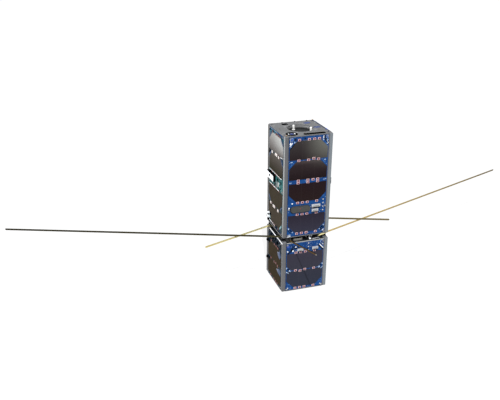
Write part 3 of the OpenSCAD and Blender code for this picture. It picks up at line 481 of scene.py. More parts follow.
sockets = metal("connector_metal", (184, 186, 190), 0.36, 0.2, "x", 0.12, 0.06)
M["connector_metal"] = sockets
sockets.set(Base_Color=sockets.mix(sockets.flank(49.3, 49.6), sockets.base(), (92, 108, 110)))
for name, colour, *look in (
    ("cover_grey", (62, 63, 62), 0.5, 0.14, 0.3, 1.6, 0.3),
    ("white_plastic", (238, 238, 236), 0.42, 0.03, 0.12, 1.2),
    ("black_plastic", (20, 20, 22), 0.42, 0.15, 0.25, 1.2),
    ("port_blue", (34, 72, 146), 0.3, 0.1, 0.15, 1.0),
    ("battery_sleeve", (84, 96, 150), 0.25, 0.08, 0.1, 0.8),
):
    M[name] = plastic(name, colour, *look)
M["screw_steel"] = metal("screw_steel", (158, 158, 160), 0.3, 0.85, "", 0.14, 0.1)
M["dark_metal"] = metal("dark_metal", (120, 121, 122), 0.42, 0.45, "", 0.12)
M["contact_brass"] = metal("contact_brass", (136, 110, 82), 0.36, 0.5, "z", 0.12)
M["antenna_board"] = board("antenna_deck", (20, 22, 26), (34, 37, 42), (8, 8, 9), rough=0.36)
M["stack_board"] = board("stack_board", (22, 74, 44), (34, 104, 62), (10, 26, 16))

# direction of each tape and where it leaves the body, seen from above
cant = radians(TAPE_CANT)
dx, dy = cos(cant), sin(cant)
tape_lines = {
    "vhf_antenna_left": (-dx, dy, -HALF, -TAPE_ROOT),
    "vhf_antenna_right": (dx, dy, HALF, -TAPE_ROOT),
    "uhf_antenna_left": (-dx, -dy, -HALF, TAPE_ROOT),
    "uhf_antenna_right": (dx, -dy, HALF, TAPE_ROOT),
    "front_whip": (dy, -dx, -TAPE_ROOT, -HALF),
}
for node, name, root, tip, length, *look in (
    ("vhf_antenna_left", "antenna_olive", (54, 51, 34), (34, 32, 22), 579, 0.45, 0.0, 0.3, 0.05),
    ("uhf_antenna_right", "antenna_olive_short", (118, 108, 76), (110, 98, 66), 167,
     0.42, 0.2, 0.3, 0.1),
    ("vhf_antenna_right", "antenna_gold", (196, 172, 112), (100, 86, 52), 626,
     0.38, 0.4, 0.3, 0.2),
    ("uhf_antenna_left", "antenna_gold_short", (240, 230, 172), (200, 184, 124), 167,
     0.38, 0.35, 0.25, 0.2),
    ("front_whip", "antenna_brown", (74, 60, 32), (70, 50, 24), 78, 0.42, 0.2, 0.4, 0.1),
):
    special[node] = tape(name, root, tip, tape_lines[node], length, *look)


def housing(m, white_part, black, white, soil, dirt, rough, spec):
    """Black moulded housing, white where white_part is 1, and soiled a little."""
    c = m.mix(white_part, black, white)
    c = m.mix(m.range(m.noise(0.9, 4, 0.6), 0.5, 0.75, 0, soil), c, dirt)
    m.set(Base_Color=c, Roughness=m.rough(m.noise(1.2), rough, rough + 0.16))
    m.specular(spec)
    m.bump(m.noise(1.6), 0.15, 0.03)


hood = special["sun_sensor"] = Mat("sensor_hood")
housing(hood, hood.flank(53.8, 53.95), (14, 14, 16), (240, 241, 242),
        0.1, (120, 122, 126), 0.4, 0.2)
sensor = special["edge_sensors"] = Mat("edge_sensor_body")
share = sensor.math("PINGPONG", sensor.math("SUBTRACT", sensor.z, 38.7), 3.0)
white_bands = sensor.times(sensor.range(sensor.z, 116, 118), sensor.range(share, 1.4, 1.6))
housing(sensor, white_bands, (12, 12, 13), (226, 228, 230),
        0.12, (110, 112, 116), 0.38, 0.0)

# painted shade: the well's floor and lower wall are dark, its upper wall the plate's grey
well = special["payload_well"] = Mat("well_painted_shade")
swirl = well.noise(0.9, 4, 0.6, well.stretch(0.3, 2, 1))
c = well.mix(well.range(swirl, 0.3, 0.7), (36, 37, 38), (50, 51, 52))
c = well.mix(well.range(well.z, 332.6, 336.4), c, (150, 151, 152))
well.set(Base_Color=c, Metallic=0.3, Roughness=well.rough(swirl, 0.45, 0.6))
well.specular(0.15)
well.bump(swirl, 0.2, 0.02)

# the lid is bare along its front edge and dark behind it: painted shade in the gap under the upper
# module
lip = special["lower_lid"] = metal("lid_edge_and_painted_shade", (158, 160, 160), 0.45, 0.3, "x", 0.12)
lip.set(Base_Color=lip.mix(lip.range(lip.y, -49.0, -49.4), (34, 35, 37), lip.base()))
lip.specular(0.1)
special["release_blocks"] = plastic("block_grey", (60, 62, 66), 0.45, 0.12, 0.2, 1.2, 0.2)

for name, o in nodes.items():
    o.data.materials.clear()
    o.data.materials.append((special.get(name) or M[slots[name]]).m)

# ------ building pieces


def level(outline, z):
    """The outline, seen from above, at that height."""
    return [(x, y, z) for x, y in outline]


def turns(n):
    return [TURN * i / n for i in range(n)]


class Shape:
    """Collects solids in millimetres, makes one mesh object of them and starts again empty."""

    def __init__(self):
        self.bm = bmesh.new()

    def rings(self, rings, mat=0, hoop=False):
        """A solid through rings of equally many points, flat at both ends or closed as a hoop."""
        n, k = len(rings[0]), len(rings)
        faces = []
        for j in range(k if hoop else k - 1):
            a, b = j * n, (j + 1) % k * n
            faces += [[a + i, a + (i + 1) % n, b + (i + 1) % n, b + i] for i in range(n)]
        if not hoop:
            faces += [list(range(n))[::-1], [(k - 1) * n + i for i in range(n)]]
        points = [self.bm.verts.new(Vector(p) * MM) for ring in rings for p in ring]
        made = [self.bm.faces.new([points[i] for i in face]) for face in faces]
        for face in made:
            face.material_index = mat
        bmesh.ops.recalc_face_normals(self.bm, faces=made)

    def tube(self, path, r):
        path = [Vector(p) for p in path]
        rings = []
        for i, p in enumerate(path):
            d = (path[min(i + 1, len(path) - 1)] - path[max(i - 1, 0)]).normalized()
            u = d.cross(Vector((0, 0, 1)) if abs(d.z) < 0.9 else Vector((1, 0, 0))).normalized()
            w = d.cross(u)
            rings.append([p + (u * cos(t) + w * sin(t)) * r for t in turns(10)])
        self.rings(rings)

    def block(self, outline, z0, z1, edge):
        """A block on an outline seen from above, with its top edge chamfered."""
        top = offset(outline, edge)
        self.rings([level(outline, z0), level(outline, z1 - edge), level(top, z1)])

    def pin(self, x, y, r, profile, n=20, mat=0):
        """A round pin, from its profile of shares of the radius and heights."""
        self.rings([level(disc(x, y, r * k, n), z) for k, z in profile], mat)

    def plate(self, side, outline, d0, d1, edge, mat=0):
        """A plate with a chamfered outer edge on a side, from its outline seen from outside."""
        self.rings([[on_side(side, u, d0, z) for u, z in outline],
                    [on_side(side, u, d1 - edge, z) for u, z in outline],
                    [on_side(side, u, d1, z) for u, z in offset(outline, edge)]], mat)

    def on_board(self, side, outlines, high, edge, mat=0, low=0):
        """Plates from low to high above a side's boards."""
        for outline in outlines:
            self.plate(side, outline, board_face + low, board_face + high, edge, mat)

    def make(self, name, slot, *mats, body="bus", smooth=False):
        mesh = bpy.data.meshes.new(name)
        self.bm.to_mesh(mesh)
        self.bm.clear()
        for m in mats:
            mesh.materials.append(m.m)
        if smooth:
            for p in mesh.polygons:
                p.use_smooth = True
        o = bpy.data.objects.new(name, mesh)
        scene.collection.objects.link(o)
        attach(o, body)


def on_side(side, u, d, z):
    """The point that is u across, d out from the body's middle and z up on one of its faces."""
    return [(u, -d, z), (d, u, z), (-u, d, z), (-d, -u, z)][side]


def offset(points, by):
    """The outline moved inwards by that much, for a convex outline."""
    n = len(points)
    area = sum(points[i][0] * points[(i + 1) % n][1] - points[(i + 1) % n][0] * points[i][1]
               for i in range(n))
    sign = 1 if area > 0 else -1
    out = []
    for i in range(n):
        p, a, b = Vector(points[i]), Vector(points[i - 1]), Vector(points[(i + 1) % n])
        e, f = (p - a).normalized(), (b - p).normalized()
        ne, nf = Vector((-e.y, e.x)) * sign, Vector((-f.y, f.x)) * sign
        out.append(tuple(p + (ne + nf) * (by / (1 + ne.dot(nf)))))
    return out


def span(u0, u1, z0, z1):
    return [(u0, z0), (u1, z0), (u1, z1), (u0, z1)]


def rect(u, z, w, h):
    return span(u - w / 2, u + w / 2, z - h / 2, z + h / 2)


def rects(*places):
    return [rect(*place) for place in places]


def disc(u, z, r, n, rz=None):
    """A circle of n points, or an ellipse where its second radius is given."""
    return [(u + r * cos(t), z + (rz or r) * sin(t)) for t in turns(n)]


def stadium(x, y, w, h, n=12):
    """A rectangle with half-round ends of n steps each."""
    r = h / 2
    arc = [pi * (i / n - 0.5) for i in range(n + 1)]
    return [(x + end * (w / 2 - r + r * cos(t)), y + end * r * sin(t))
            for end in (1, -1) for t in arc]


def bar(a, b, w):
    """Outline of a bar of width w from a to b."""
    a, b = Vector(a), Vector(b)
    d = (b - a).normalized()
    n = Vector((-d.y, d.x)) * (w / 2)
    return [tuple(a - n), tuple(b - n), tuple(b + n), tuple(a + n)]


def bars(*lines):
    return [bar(*line) for line in lines]


def in_mm(node):
    lo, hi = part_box(node)
    return lo / MM, hi / MM


def loose_parts(node):
    """Lowest and highest corner of each loose part of a node's mesh, in millimetres."""
    mesh = nodes[node].data
    parent = list(range(len(mesh.vertices)))

    def root(i):
        while parent[i] != i:
            parent[i] = parent[parent[i]]
            i = parent[i]
        return i

    place = {}
    for v in mesh.vertices:
        k = tuple(round(c, 6) for c in v.co)
        parent[root(v.index)] = root(place.setdefault(k, v.index))
    for e in mesh.edges:
        parent[root(e.vertices[0])] = root(e.vertices[1])
    boxes = {}
    for v in mesh.vertices:
        p = v.co / MM
        b = boxes.setdefault(root(v.index), [p, p])
        b[0] = Vector(map(min, b[0], p))
        b[1] = Vector(map(max, b[1], p))
    return sorted(boxes.values(), key=lambda b: (*b[0], *b[1]))


def side_of(c):
    """Side, place across and height of a point on one of the four faces."""
    if abs(c.y) > abs(c.x):
        return (FRONT, c.x, c.z) if c.y < 0 else (BACK, -c.x, c.z)
    return (RIGHT, c.y, c.z) if c.x > 0 else (LEFT, -c.y, c.z)


board_face = -in_mm("front_upper_panel")[0].y
cell_face = -in_mm("front_cells")[0].y
tab_face = -in_mm("cell_tabs")[0].y
top_face = in_mm("top_plate")[1].z

# dark red weld spots on the tabs
weld = Mat("tab_weld")
c = weld.mix(weld.range(weld.noise(0.9, 3), 0.4, 0.6), (78, 10, 28), (112, 32, 50))
weld.set(Base_Color=weld.mix(weld.flank(), c, (92, 46, 44)), Roughness=0.4)
weld.specular(0.2)
weld.bump(weld.noise(2.0), 0.4, 0.05)

s = Shape()
for lo, hi in loose_parts("cell_tabs"):
    side, u, z = side_of((lo + hi) / 2)
    s.plate(side, rect(u + 0.2, z - 0.2, 3.5, 2.7), tab_face - 0.05, tab_face + 0.09, 0.06)
s.make("tab_welds", "cell_tab", weld)

# ------ small parts' finishes

chip = plastic("chip_black", (16, 16, 19), 0.4, 0.2, 0.2, 2.2, 0.12)
# black for the eye ring, and painted shade inside the top plate's holes
black_and_shade = plastic("black_and_painted_shade", (3, 3, 4), 0.7, 0.2, 0.2, 1, 0)
side_black = plastic("side_black", (9, 10, 12), 0.6, 0.2, 0.2, 1.6, 0.0)
ceramic = plastic("ceramic_white", (236, 240, 244), 0.36, 0.03, 0.15, 1.6)
# black for wires, and for painted shadow strips on the front panels
wire_and_shadow_black = plastic("wire_and_shadow_black", (11, 11, 13), 0.45, 0.1, 0.1, 0.8, 0.1)
wire_blue = plastic("wire_blue", (24, 54, 100), 0.4, 0.1, 0.1, 0.8, 0.1)
lens_blue = plastic("lens_blue", (14, 44, 108), 0.14, 0.2, 0.05, 0.5, 0.5)
navy_disc = plastic("navy_disc", (10, 44, 108), 0.3, 0.12, 0.12, 0.9, 0.2)
patch_blue = plastic("patch_blue", (20, 70, 160), 0.3, 0.12, 0.12, 0.9)
patch_edge = plastic("patch_edge", (150, 176, 196), 0.34, 0.08, 0.15, 1.1)
teal_glass = plastic("teal_glass", (112, 148, 152), 0.3, 0.12, 0.15, 0.8, 0.1)
navy_glass = plastic("navy_glass", (34, 52, 84), 0.3, 0.2, 0.15, 0.8, 0.1)
cap_white = plastic("cap_white", (206, 200, 196), 0.4, 0.08, 0.2, 0.7, 0.2)
cap_rose = plastic("cap_rose", (176, 164, 160), 0.4, 0.12, 0.2, 0.9, 0.2)
bar_rose = plastic("bar_rose", (206, 196, 198), 0.4, 0.08, 0.15, 0.9, 0.1)
painted_edge_highlight = plastic("painted_edge_highlight", (248, 249, 252), 0.3, 0.02, 0.1, 1.2, 0.5)
dot_red = plastic("dot_red", (120, 32, 34), 0.4, 0.15, 0.2, 2)
root_gold_painted_bright = metal("root_gold_painted_bright", (255, 240, 176), 0.2, 0.9, "x", 0.06, 0.04)
solder = metal("solder", (206, 208, 212), 0.26, 0.6, "", 0.12)
latch_grey = metal("latch_grey", (112, 110, 104), 0.5, 0.2, "x", 0.1)
pin_brown = metal("pin_brown", (104, 88, 74), 0.4, 0.5, "", 0.15)

glint = Mat("glint_blue")
glints = [(0.36, (74, 110, 160)), (0.5, (128, 156, 190)), (0.62, (206, 218, 232))]
glint.set(Base_Color=glint.ramp(glint.noise(0.4, 4, 0.6), glints), Metallic=0.1,
          Roughness=glint.rough(glint.noise(0.9), 0.16, 0.34))
glint.bump(glint.noise(0.8), 0.4, 0.06)

# painted reflection over the side cells' lower corners: grey in the middle of a face, darker to its
# edges
painted_reflection = Mat("painted_corner_reflection")
outward = painted_reflection.range(painted_reflection.math("ABSOLUTE", painted_reflection.y), 17, 29)
c = painted_reflection.mix(outward, (134, 140, 154), (76, 86, 108))
c = painted_reflection.mix(painted_reflection.range(painted_reflection.noise(0.35, 3), 0.45, 0.7, 0, 0.5), c, (104, 114, 136))
painted_reflection.set(Base_Color=c, Roughness=painted_reflection.rough(painted_reflection.noise(0.8), 0.3, 0.45))
painted_reflection.specular(0.0)
painted_reflection.bump(painted_reflection.noise(0.9), 0.2, 0.03)

# ------ front bands

connectors = loose_parts("panel_connectors")

s.on_board(FRONT, rects((-31.6, 199.9, 2.6, 2.4), (-38.2, 190.5, 2.4, 2.8)), 1, 0.25)
s.on_board(FRONT, rects(
    (-20.9, 102.1, 2.4, 2.2), (-26.8, 93.6, 3.4, 2.8), (-38.6, 93.4, 2.4, 2.6)), 0.9, 0.25)
s.make("band_capacitors", "white_plastic", ceramic)

s.plate(FRONT, disc(-15, 188.5, 1.1, 20), 52.9, 53.25, 0.12)
s.make("cover_stud", "cell_tab", dot_red)

# each socket on the front's bands: its slot, contacts and solder joints, a painted shadow below it
# and painted shade along its face's lower edge
for lo, hi in connectors:
    wide, face = hi.x - lo.x, -lo.y
    if hi.y > -45 or wide < 9:
        continue
    x, z = (lo.x + hi.x) / 2, (lo.z + hi.z) / 2
    s.plate(FRONT, rect(x, z, wide - 4.6, 1.3), face - 0.85, face - 0.7, 0.03, 1)
    for k in range(int((wide - 4) / 1.5) + 1):
        u = lo.x + 2.4 + 1.5 * k
        s.plate(FRONT, rect(u, z - 1.5, 0.7, 1.1), face - 0.04, face + 0.07, 0.03)
        s.on_board(FRONT, rects((u, lo.z - 0.5, 0.6, 1)), 0.5, 0.1, 2)
    s.on_board(FRONT, rects((x + 0.4, lo.z - 1, wide + 1.4, 2.4)), 0.25, 0.1, 1)
    # painted shade along the lower edge of the socket's face
    s.plate(FRONT, rect(x + 0.2, lo.z + 0.45, wide - 0.8, 0.8), face - 0.2, face + 0.03, 0.03, 1)
s.make("connector_slots_and_shade", "black_plastic", latch_grey, chip, solder)

# painted shadow: a black plate round the grey cover, reaching further below and to the left, and
# black marks under the pads and small parts
lo, hi = in_mm("umbilical_cover")
cover_shadow = stadium((lo.x + hi.x) / 2 - 0.4, (lo.z + hi.z) / 2 - 0.9,
                 hi.x - lo.x + 1.4, hi.z - lo.z + 1.4, 14)
s.on_board(FRONT, [cover_shadow], 0.35, 0.12)
for lo, hi in connectors:
    if hi.y < -50 and hi.x - lo.x < 5:
        s.on_board(FRONT, rects(((lo.x + hi.x) / 2 - 0.5, lo.z - 1.5, 2.4, 2.4)), 0.3, 0.1)
s.on_board(FRONT, rects(
    (-31.4, 197.9, 3.2, 1.6), (-36.2, 190.2, 1.6, 4.2), (-19.3, 101.2, 1.2, 3),
    (-24.6, 92.4, 1.4, 3.6)), 0.3, 0.1)
s.make("board_shadow_marks", "black_plastic", chip)

for u, z, ring, spot in [(-37.4, 104.6, 1, 2), (37.3, 107.3, 0, 1)]:
    s.on_board(FRONT, [disc(u, z, 3.7, 28)], 0.3, 0.12, ring)
    s.on_board(FRONT, [disc(u + 0.2, z, 3, 28)], 0.8, 0.3, spot, 0.3)
s.make("fiducial_spots", "port_blue", patch_edge, navy_disc, patch_blue)

# black (0) and white (1) strips that cross the corners of the front panels; the black ones are
# partly leads and partly painted shadow of the white strips and cell edges
for *line, mat in [
    ((-38.8, 313.4), (-29.4, 324.6), 1.7, 0), ((-39.6, 319.4), (-34.4, 326.6), 2, 1),
    ((-39.2, 323.6), (-37.6, 327.6), 2.2, 1), ((33.9, 328.6), (40.6, 319.2), 1.7, 0),
    ((36.2, 326.6), (41, 320.4), 1, 1), ((-26.9, 97.3), (-38.4, 87.6), 2.4, 0),
    ((-32, 96), (-22.6, 105.4), 2, 0), ((31.6, 101.7), (40.6, 91.6), 1.8, 1),
    ((29.4, 100.2), (39.6, 88.6), 2.6, 0), ((35.4, 103.4), (40.2, 98.4), 1, 0),
    ((37.4, 102.4), (40.4, 99.6), 1, 1), ((32.6, 134.4), (40.8, 142.6), 1.5, 0),
    ((29, 132.6), (33.6, 137), 1.2, 0), ((-40.8, 142.6), (-32.6, 134.4), 1.2, 0),
    ((-40.6, 127.4), (-33.6, 128.6), 1.3, 1), ((35.6, 132.4), (39.2, 135.6), 1.2, 1),
    ((34, 128.6), (40.4, 129.8), 1.1, 0), ((-33.4, 52.6), (-40.2, 46.2), 1, 0),
    ((33.4, 52.2), (40.2, 45.8), 1, 0), ((-16.6, 103.4), (-11.2, 94.2), 2.2, 0),
    ((-24.6, 99.6), (-17.6, 98.2), 2, 0), ((4.6, 92), (8.4, 99.4), 1.6, 0),
]:
    s.on_board(FRONT, bars(line), 0.45, 0.12, mat)
s.make("corner_strips", "black_plastic", wire_and_shadow_black, ceramic)


def diode_bars():
    """Each diode's side, middle, direction along it and half width, seen from outside."""
    for lo, hi in loose_parts("bypass_diodes"):
        side, u, z = side_of((lo + hi) / 2)
        top_cropped = z > 260 or (side in (LEFT, RIGHT) and z < 110)
        rise = -1 if (u > 0) == top_cropped else 1
        yield side, Vector((u, z)), Vector((1, rise)).normalized(), (hi.z - lo.z) / 2 - 0.85


# painted reflection: pale-blue glints on the front diode bars' end contacts and by the cell corners
for side, middle, along, half in diode_bars():
    z = middle.y
    if side in (LEFT, RIGHT) or not (30 < z < 70 or 130 < z < 160 or z > 310):
        continue
    for end in (-1, 1):
        a = middle + along * end * (half * 1.41 - 0.4)
        s.on_board(side, bars((a, a + along * end * 2.4, 2.9)), 0.62, 0.14, low=0.3)
s.on_board(FRONT, bars(
    ((29.6, 136.6), (39, 146), 2.4), ((-39, 146), (-29.6, 136.6), 2.2),
    ((-41, 130.4), (-34, 131.6), 1.8), ((31.4, 45.9), (38.8, 53.9), 2.4),
    ((-38.8, 53.9), (-31.4, 45.9), 2.4), ((-40.8, 46), (-35.4, 43), 1.8),
    ((36.6, 43.4), (40.9, 47.6), 1.8)), 0.5, 0.15)
s.on_board(FRONT, rects(
    (-35.2, 287.2, 4.2, 2), (35, 287, 4.4, 2), (-36.4, 244.5, 4, 2.2),
    (35, 245.5, 3.4, 2), (38.9, 246.1, 2, 2.2), (38.9, 327.4, 3, 2.4)), 0.42, 0.14)
s.make("corner_contact_glints", "bypass_diode", glint)

# a white strip by each of the front's bottom corners, with black painted shadow beside it
for out in (-1, 1):
    u = 38.6 * out
    s.on_board(FRONT, bars(((u - out * 2.6, 7.4), (u + out * 1.2, 3.4), 1.6)), 0.5, 0.15)
    s.on_board(FRONT, bars(((u - out * 3.8, 6), (u - out * 0.4, 3.2), 1.1)), 0.4, 0.12, 1)
s.make("foot_strips", "white_plastic", ceramic, wire_and_shadow_black)

for u, z, w, h in [(-36, 333, 6, 6.4), (38.3, 334, 4.6, 6)]:
    s.on_board(FRONT, rects((u, z, w, h)), 0.3, 0.1)
    s.on_board(FRONT, rects((u, z, w - 1.4, h - 1.4)), 0.6, 0.12, 1, 0.25)
s.make("thermal_patches", "port_blue", patch_edge, patch_blue)

s.on_board(FRONT, rects(
    (-28.4, 333, 3.2, 4.2), (32.4, 333.8, 2.8, 5.6), (-8.6, 333.8, 2.6, 2.6),
    (34.8, 328.6, 3, 3.2)), 1.1, 0.35)
s.on_board(FRONT, rects((30.2, 333.6, 1.3, 5.4)), 0.9, 0.25, 1)
s.make("top_band_chips", "black_plastic", chip, ceramic)

# ------ side bands

for side, label in ((LEFT, "left"), (RIGHT, "right")):
    s.on_board(side, [span(-37, 35, 247.7, 248.7)], 0.9, 0.25)
    s.on_board(side, [span(-37, 35, 248.7, 249.9)], 0.6, 0.2, 1)
    s.on_board(side, [span(-38.6, -7, 243.2, 246.4)], 0.7, 0.2, 1)
    s.on_board(side, [span(-35, 22, 217.8, 219)], 0.9, 0.25)
    s.on_board(side, bars(((-37, 133.4), (-21, 132.6), 1.5)), 0.9, 0.25)
    s.on_board(side, bars(((-21, 132.6), (2, 131.6), 1)), 0.9, 0.25, 2)
    s.on_board(side, bars(((2, 131.6), (37.6, 131.8), 0.8)), 0.8, 0.2, 3)
    dark = bars(((-38, 135), (24, 133.4), 1.5), ((-38, 129.6), (38, 129.2), 1.6))
    s.on_board(side, dark, 0.5, 0.15, 1)
    s.make(label + "_bus_bars", "white_plastic", ceramic, side_black, bar_rose, navy_glass)

    for *place, out, mat in [
        (-34.5, 141.2, 6.6, 4.4, 54.2, 0), (-35.6, 149, 4.4, 3.2, 54, 0),
        (-26.4, 149.4, 4.4, 4.4, 51.6, 1), (-37, 132.4, 4.6, 3.6, 53.4, 1),
        (-36.2, 145.6, 5.4, 2.2, 53, 1),
    ]:
        s.plate(side, rect(*place), board_face, out, 0.4, mat)
    s.make(label + "_edge_sockets", "white_plastic", ceramic, side_black)

    s.on_board(side, rects(
        (-3.8, 241, 5.2, 3.4), (12.5, 240.6, 4.6, 3.2), (20.3, 220.6, 4, 2.4),
        (-2, 225.6, 6.4, 6), (6.8, 232.6, 3, 4.2), (30.6, 238, 3.6, 5)), 1.1, 0.3)
    for *place, mat in [
        (16.5, 230.5, 2.8, 9.6, 1), (24.2, 228.2, 2.4, 3.4, 2), (24.2, 235.6, 2.4, 3.4, 2),
        (10.6, 224.6, 3.2, 2, 2), (33.6, 224, 2.6, 2.6, 2), (19.8, 225.4, 2.2, 5, 0),
        (13.6, 238.8, 3.6, 3.2, 0), (28.6, 224.4, 3, 3, 0),
    ]:
        s.on_board(side, rects(place), 0.9, 0.25, mat)
    s.on_board(side, rects(
        (-18.9, 333.2, 3.4, 3.4), (-40, 283.8, 2, 4), (31.5, 330.4, 3.2, 3.4),
        (-37.4, 332.4, 4, 4.4)), 1, 0.3)
    s.on_board(side, rects((21.5, 290.1, 3.2, 1)), 0.5, 0.15, 1)
    s.make(label + "_band_parts", "black_plastic", side_black, cap_white, teal_glass)

    s.on_board(side, bars(
        ((-39.4, 98.2), (-30.2, 107.6), 1.6), ((30.2, 107.6), (39.4, 98.2), 1.6),
        ((-38, 109.6), (38, 109.6), 1.4), ((-18, 96.6), (14, 96.6), 1.6),
        ((-34, 92.4), (34, 92.4), 1.2)), 0.5, 0.14)
    s.on_board(side, rects(
        (-22, 103.6, 6.4, 5.4), (-8, 102.6, 7.4, 6.4), (5, 103, 5, 5),
        (18, 100.4, 8.6, 6.6), (-30, 97.6, 4, 4.4)), 1, 0.3)
    s.on_board(side, rects(
        (-37.6, 106.4, 2.6, 2.6), (37.4, 106.4, 2.6, 2.6), (28.2, 100.2, 1.8, 2.6)), 0.5, 0.15, 1)
    s.make(label + "_lower_band", "black_plastic", side_black, latch_grey)

    # covers on the cropped corners' diodes: low down a painted reflection to the front and black to
    # the back, teal and navy glass above
    for at, middle, along, _ in diode_bars():
        if at != side:
            continue
        u, z = middle
        tone = (3 if u > 0 else 2) if z < 110 else (0 if z < 150 else 1)
        cover = bar(middle - along * 6.6, middle + along * 6.6, 4)
        s.on_board(side, [cover], 0.75, 0.3, tone, 0.3)
    # painted reflection: pale patches over the lower cells' front corners
    for outline in ([(19.5, 81.4), (23, 73.4), (33, 68.6), (39.8, 77.4), (31.6, 84.4)],
                    [(15, 38.6), (24.4, 33.4), (39.4, 31.4), (40, 43.2), (28.4, 43.6)]):
        s.plate(side, outline, cell_face - 0.2, cell_face + 0.45, 0.3, 3)
    s.make(label + "_diode_covers", "bypass_diode", teal_glass, navy_glass, side_black, painted_reflection)

    for u, z, w, h in [
        (-21.8, 288.8, 6.6, 5), (1.5, 289.4, 11.4, 5.8), (16.4, 288.2, 5.4, 4.6),
        (-26, 175.6, 5.6, 5), (-7, 174.2, 12, 5.4), (17.7, 174, 6.4, 5),
    ]:
        spot = rect(u, z - 0.4, w * 0.45, h * 0.4)
        s.plate(side, rect(u, z, w, h), cell_face, cell_face + 0.8, 0.3)
        s.plate(side, spot, cell_face + 0.75, cell_face + 0.95, 0.08, 1)
    s.make(label + "_tab_caps", "cell_tab", cap_white, cap_rose)

    for *line, mat in [
        ((24, 290.4), (38.6, 292.6), 0.9, 0), ((-40.6, 290.4), (-31.4, 284.6), 6.4, 1),
        ((-40.6, 337), (40.6, 337), 1.4, 2), ((-34, 336), (10, 336), 1.2, 3),
    ]:
        s.on_board(side, bars(line), 0.55, 0.14, mat)
    s.make(label + "_top_band", "black_plastic", ceramic, side_black, wire_blue, teal_glass)

# ------ back bands

s.on_board(BACK, rects(
    (-24, 196.4, 9, 5.2), (-7, 197.4, 5, 4), (8, 195.2, 6, 6), (24, 197, 8, 4.4),
    (-27, 184.4, 5, 4), (-8, 184, 12, 5), (14, 184.4, 4.4, 4.4), (28, 184, 4, 6),
    (-24, 102.4, 7, 5), (-4, 101.4, 5, 5), (16, 102.4, 9, 4.4)), 1.1, 0.3)
s.on_board(BACK, rects(
    (-15, 190.4, 3.2, 2.4), (0.6, 190.4, 3.2, 2.4), (20.4, 190.6, 3.4, 2.4),
    (33.6, 191.4, 2.6, 3.2), (-34, 191.4, 2.6, 3.2), (-13.4, 101.8, 2.6, 3.8),
    (5.6, 102.2, 2.6, 3.4), (27.6, 102, 2.4, 3.4), (-34.6, 102.2, 2.6, 3.8)), 0.9, 0.25, 1)
for z in (108, 332.4):
    for u in (-37.2, 37.2):
        s.on_board(BACK, [disc(u, z, 2.6, 24)], 0.35, 0.12, 2)
        s.on_board(BACK, [disc(u, z, 2, 24)], 0.7, 0.25, 3, 0.3)
for z in (136.5, 48, 289):
    s.on_board(BACK, rects((-33.6, z, 4.8, 2), (33.6, z, 4.8, 2)), 0.42, 0.14, 2)
s.make("back_band_parts", "black_plastic", chip, ceramic, patch_edge, lens_blue)

# ------ top


def turned(x, y, profile):
    """A closed ring of revolution through a profile of radius and height."""
    s.rings([level(disc(x, y, r, 40), z) for r, z in profile], hoop=True)


def shaded_hole(outline, deep, wall=0.5):
    """A black cup in a hole in the top plate, its wall and its floor: painted shade inside the
    hole.
    """
    top, inner = top_face + 0.02, offset(outline, wall)
    s.rings([level(outline, top - deep), level(outline, top),
             level(inner, top), level(inner, top - deep + wall)])


def flat_ring(inner, wide, high):
    """A flat ring round an outline in the top plate."""
    outer = offset(inner, -wide)
    s.rings([level(inner, top_face), level(outer, top_face),
             level(outer, top_face + high), level(inner, top_face + high)], hoop=True)


front_slot = stadium(14, -42, 43.9, 6.9)

turned(*EYE, [(12, 339.95), (12, 340.3), (11.6, 340.5), (8.4, 340.5),
                 (8, 340.1), (7.8, 334.6), (8.6, 334.6), (9.6, 339.6)])
turned(*EYE, [(7.9, 334.4), (7.9, 334.9), (5, 335.6), (5, 334.4)])
s.make("eye_ring", "black_plastic", black_and_shade)

dome = [pi / 2 * k / 9 for k in range(9)]
s.rings([level(disc(*EYE, 4.8 * cos(t), 32), 338.4 + 3.2 * sin(t)) for t in dome])
s.make("eye_lens", "port_blue", lens_blue, smooth=True)

# painted highlights: two white bits beside the eye's lens, left and right
for t in (pi * 0.98, pi * 0.06):
    out = Vector((cos(t), sin(t)))
    middle = Vector(EYE) + out * 6.6
    s.block(bar(middle - out * 1.1, middle + out * 1.1, 3), 338, 340.8, 0.3)
s.make("eye_glints", "white_plastic", ceramic)

# painted shade: black rims round the access port and the front slot that widen their dark
flat_ring(rect(-19.9, 34.7, 7.5, 5.4), 2.3, 0.25)
flat_ring(front_slot, 1.3, 0.25)
s.make("hole_shade_rims", "black_plastic", black_and_shade)

for lo, hi in loose_parts("port_plugs"):
    plug = stadium((lo.x + hi.x) / 2, (lo.y + hi.y) / 2, hi.x - lo.x, hi.y - lo.y)
    flat_ring(plug, 0.9, 0.35)
s.make("plug_collars", "port_blue", navy_disc)

# painted shade: black cups inside the front slot and the access port
shaded_hole(front_slot, 7)
shaded_hole(rect(-19.9, 34.5, 7.5, 5.4), 5)
s.make("hole_painted_shade", "black_plastic", black_and_shade)

for x, y, r, h in [
    (-44.6, 42.8, 1.4, 0.9), (-20.6, 47.4, 1.5, 0.9), (6.8, 47.6, 1.5, 0.9),
    (33, 47.2, 1.6, 1.1), (-46.4, -34, 1.1, 0.6),
]:
    s.pin(x, y, r, [(1, top_face), (1, top_face + h * 0.7), (0.72, top_face + h)], 16)
for x, y, r in [
    (-3.5, -33.5, 1.5), (30.5, -22.4, 1.5), (43.5, -38, 1.5), (-40.8, 6.4, 1.4), (8.6, 36.4, 1.4),
]:
    s.pin(x, y, r, [(1, top_face - 0.1), (1, top_face + 0.2), (0.8, top_face + 0.4)], mat=1)
s.make("top_studs", "dark_metal", chip, pin_brown)

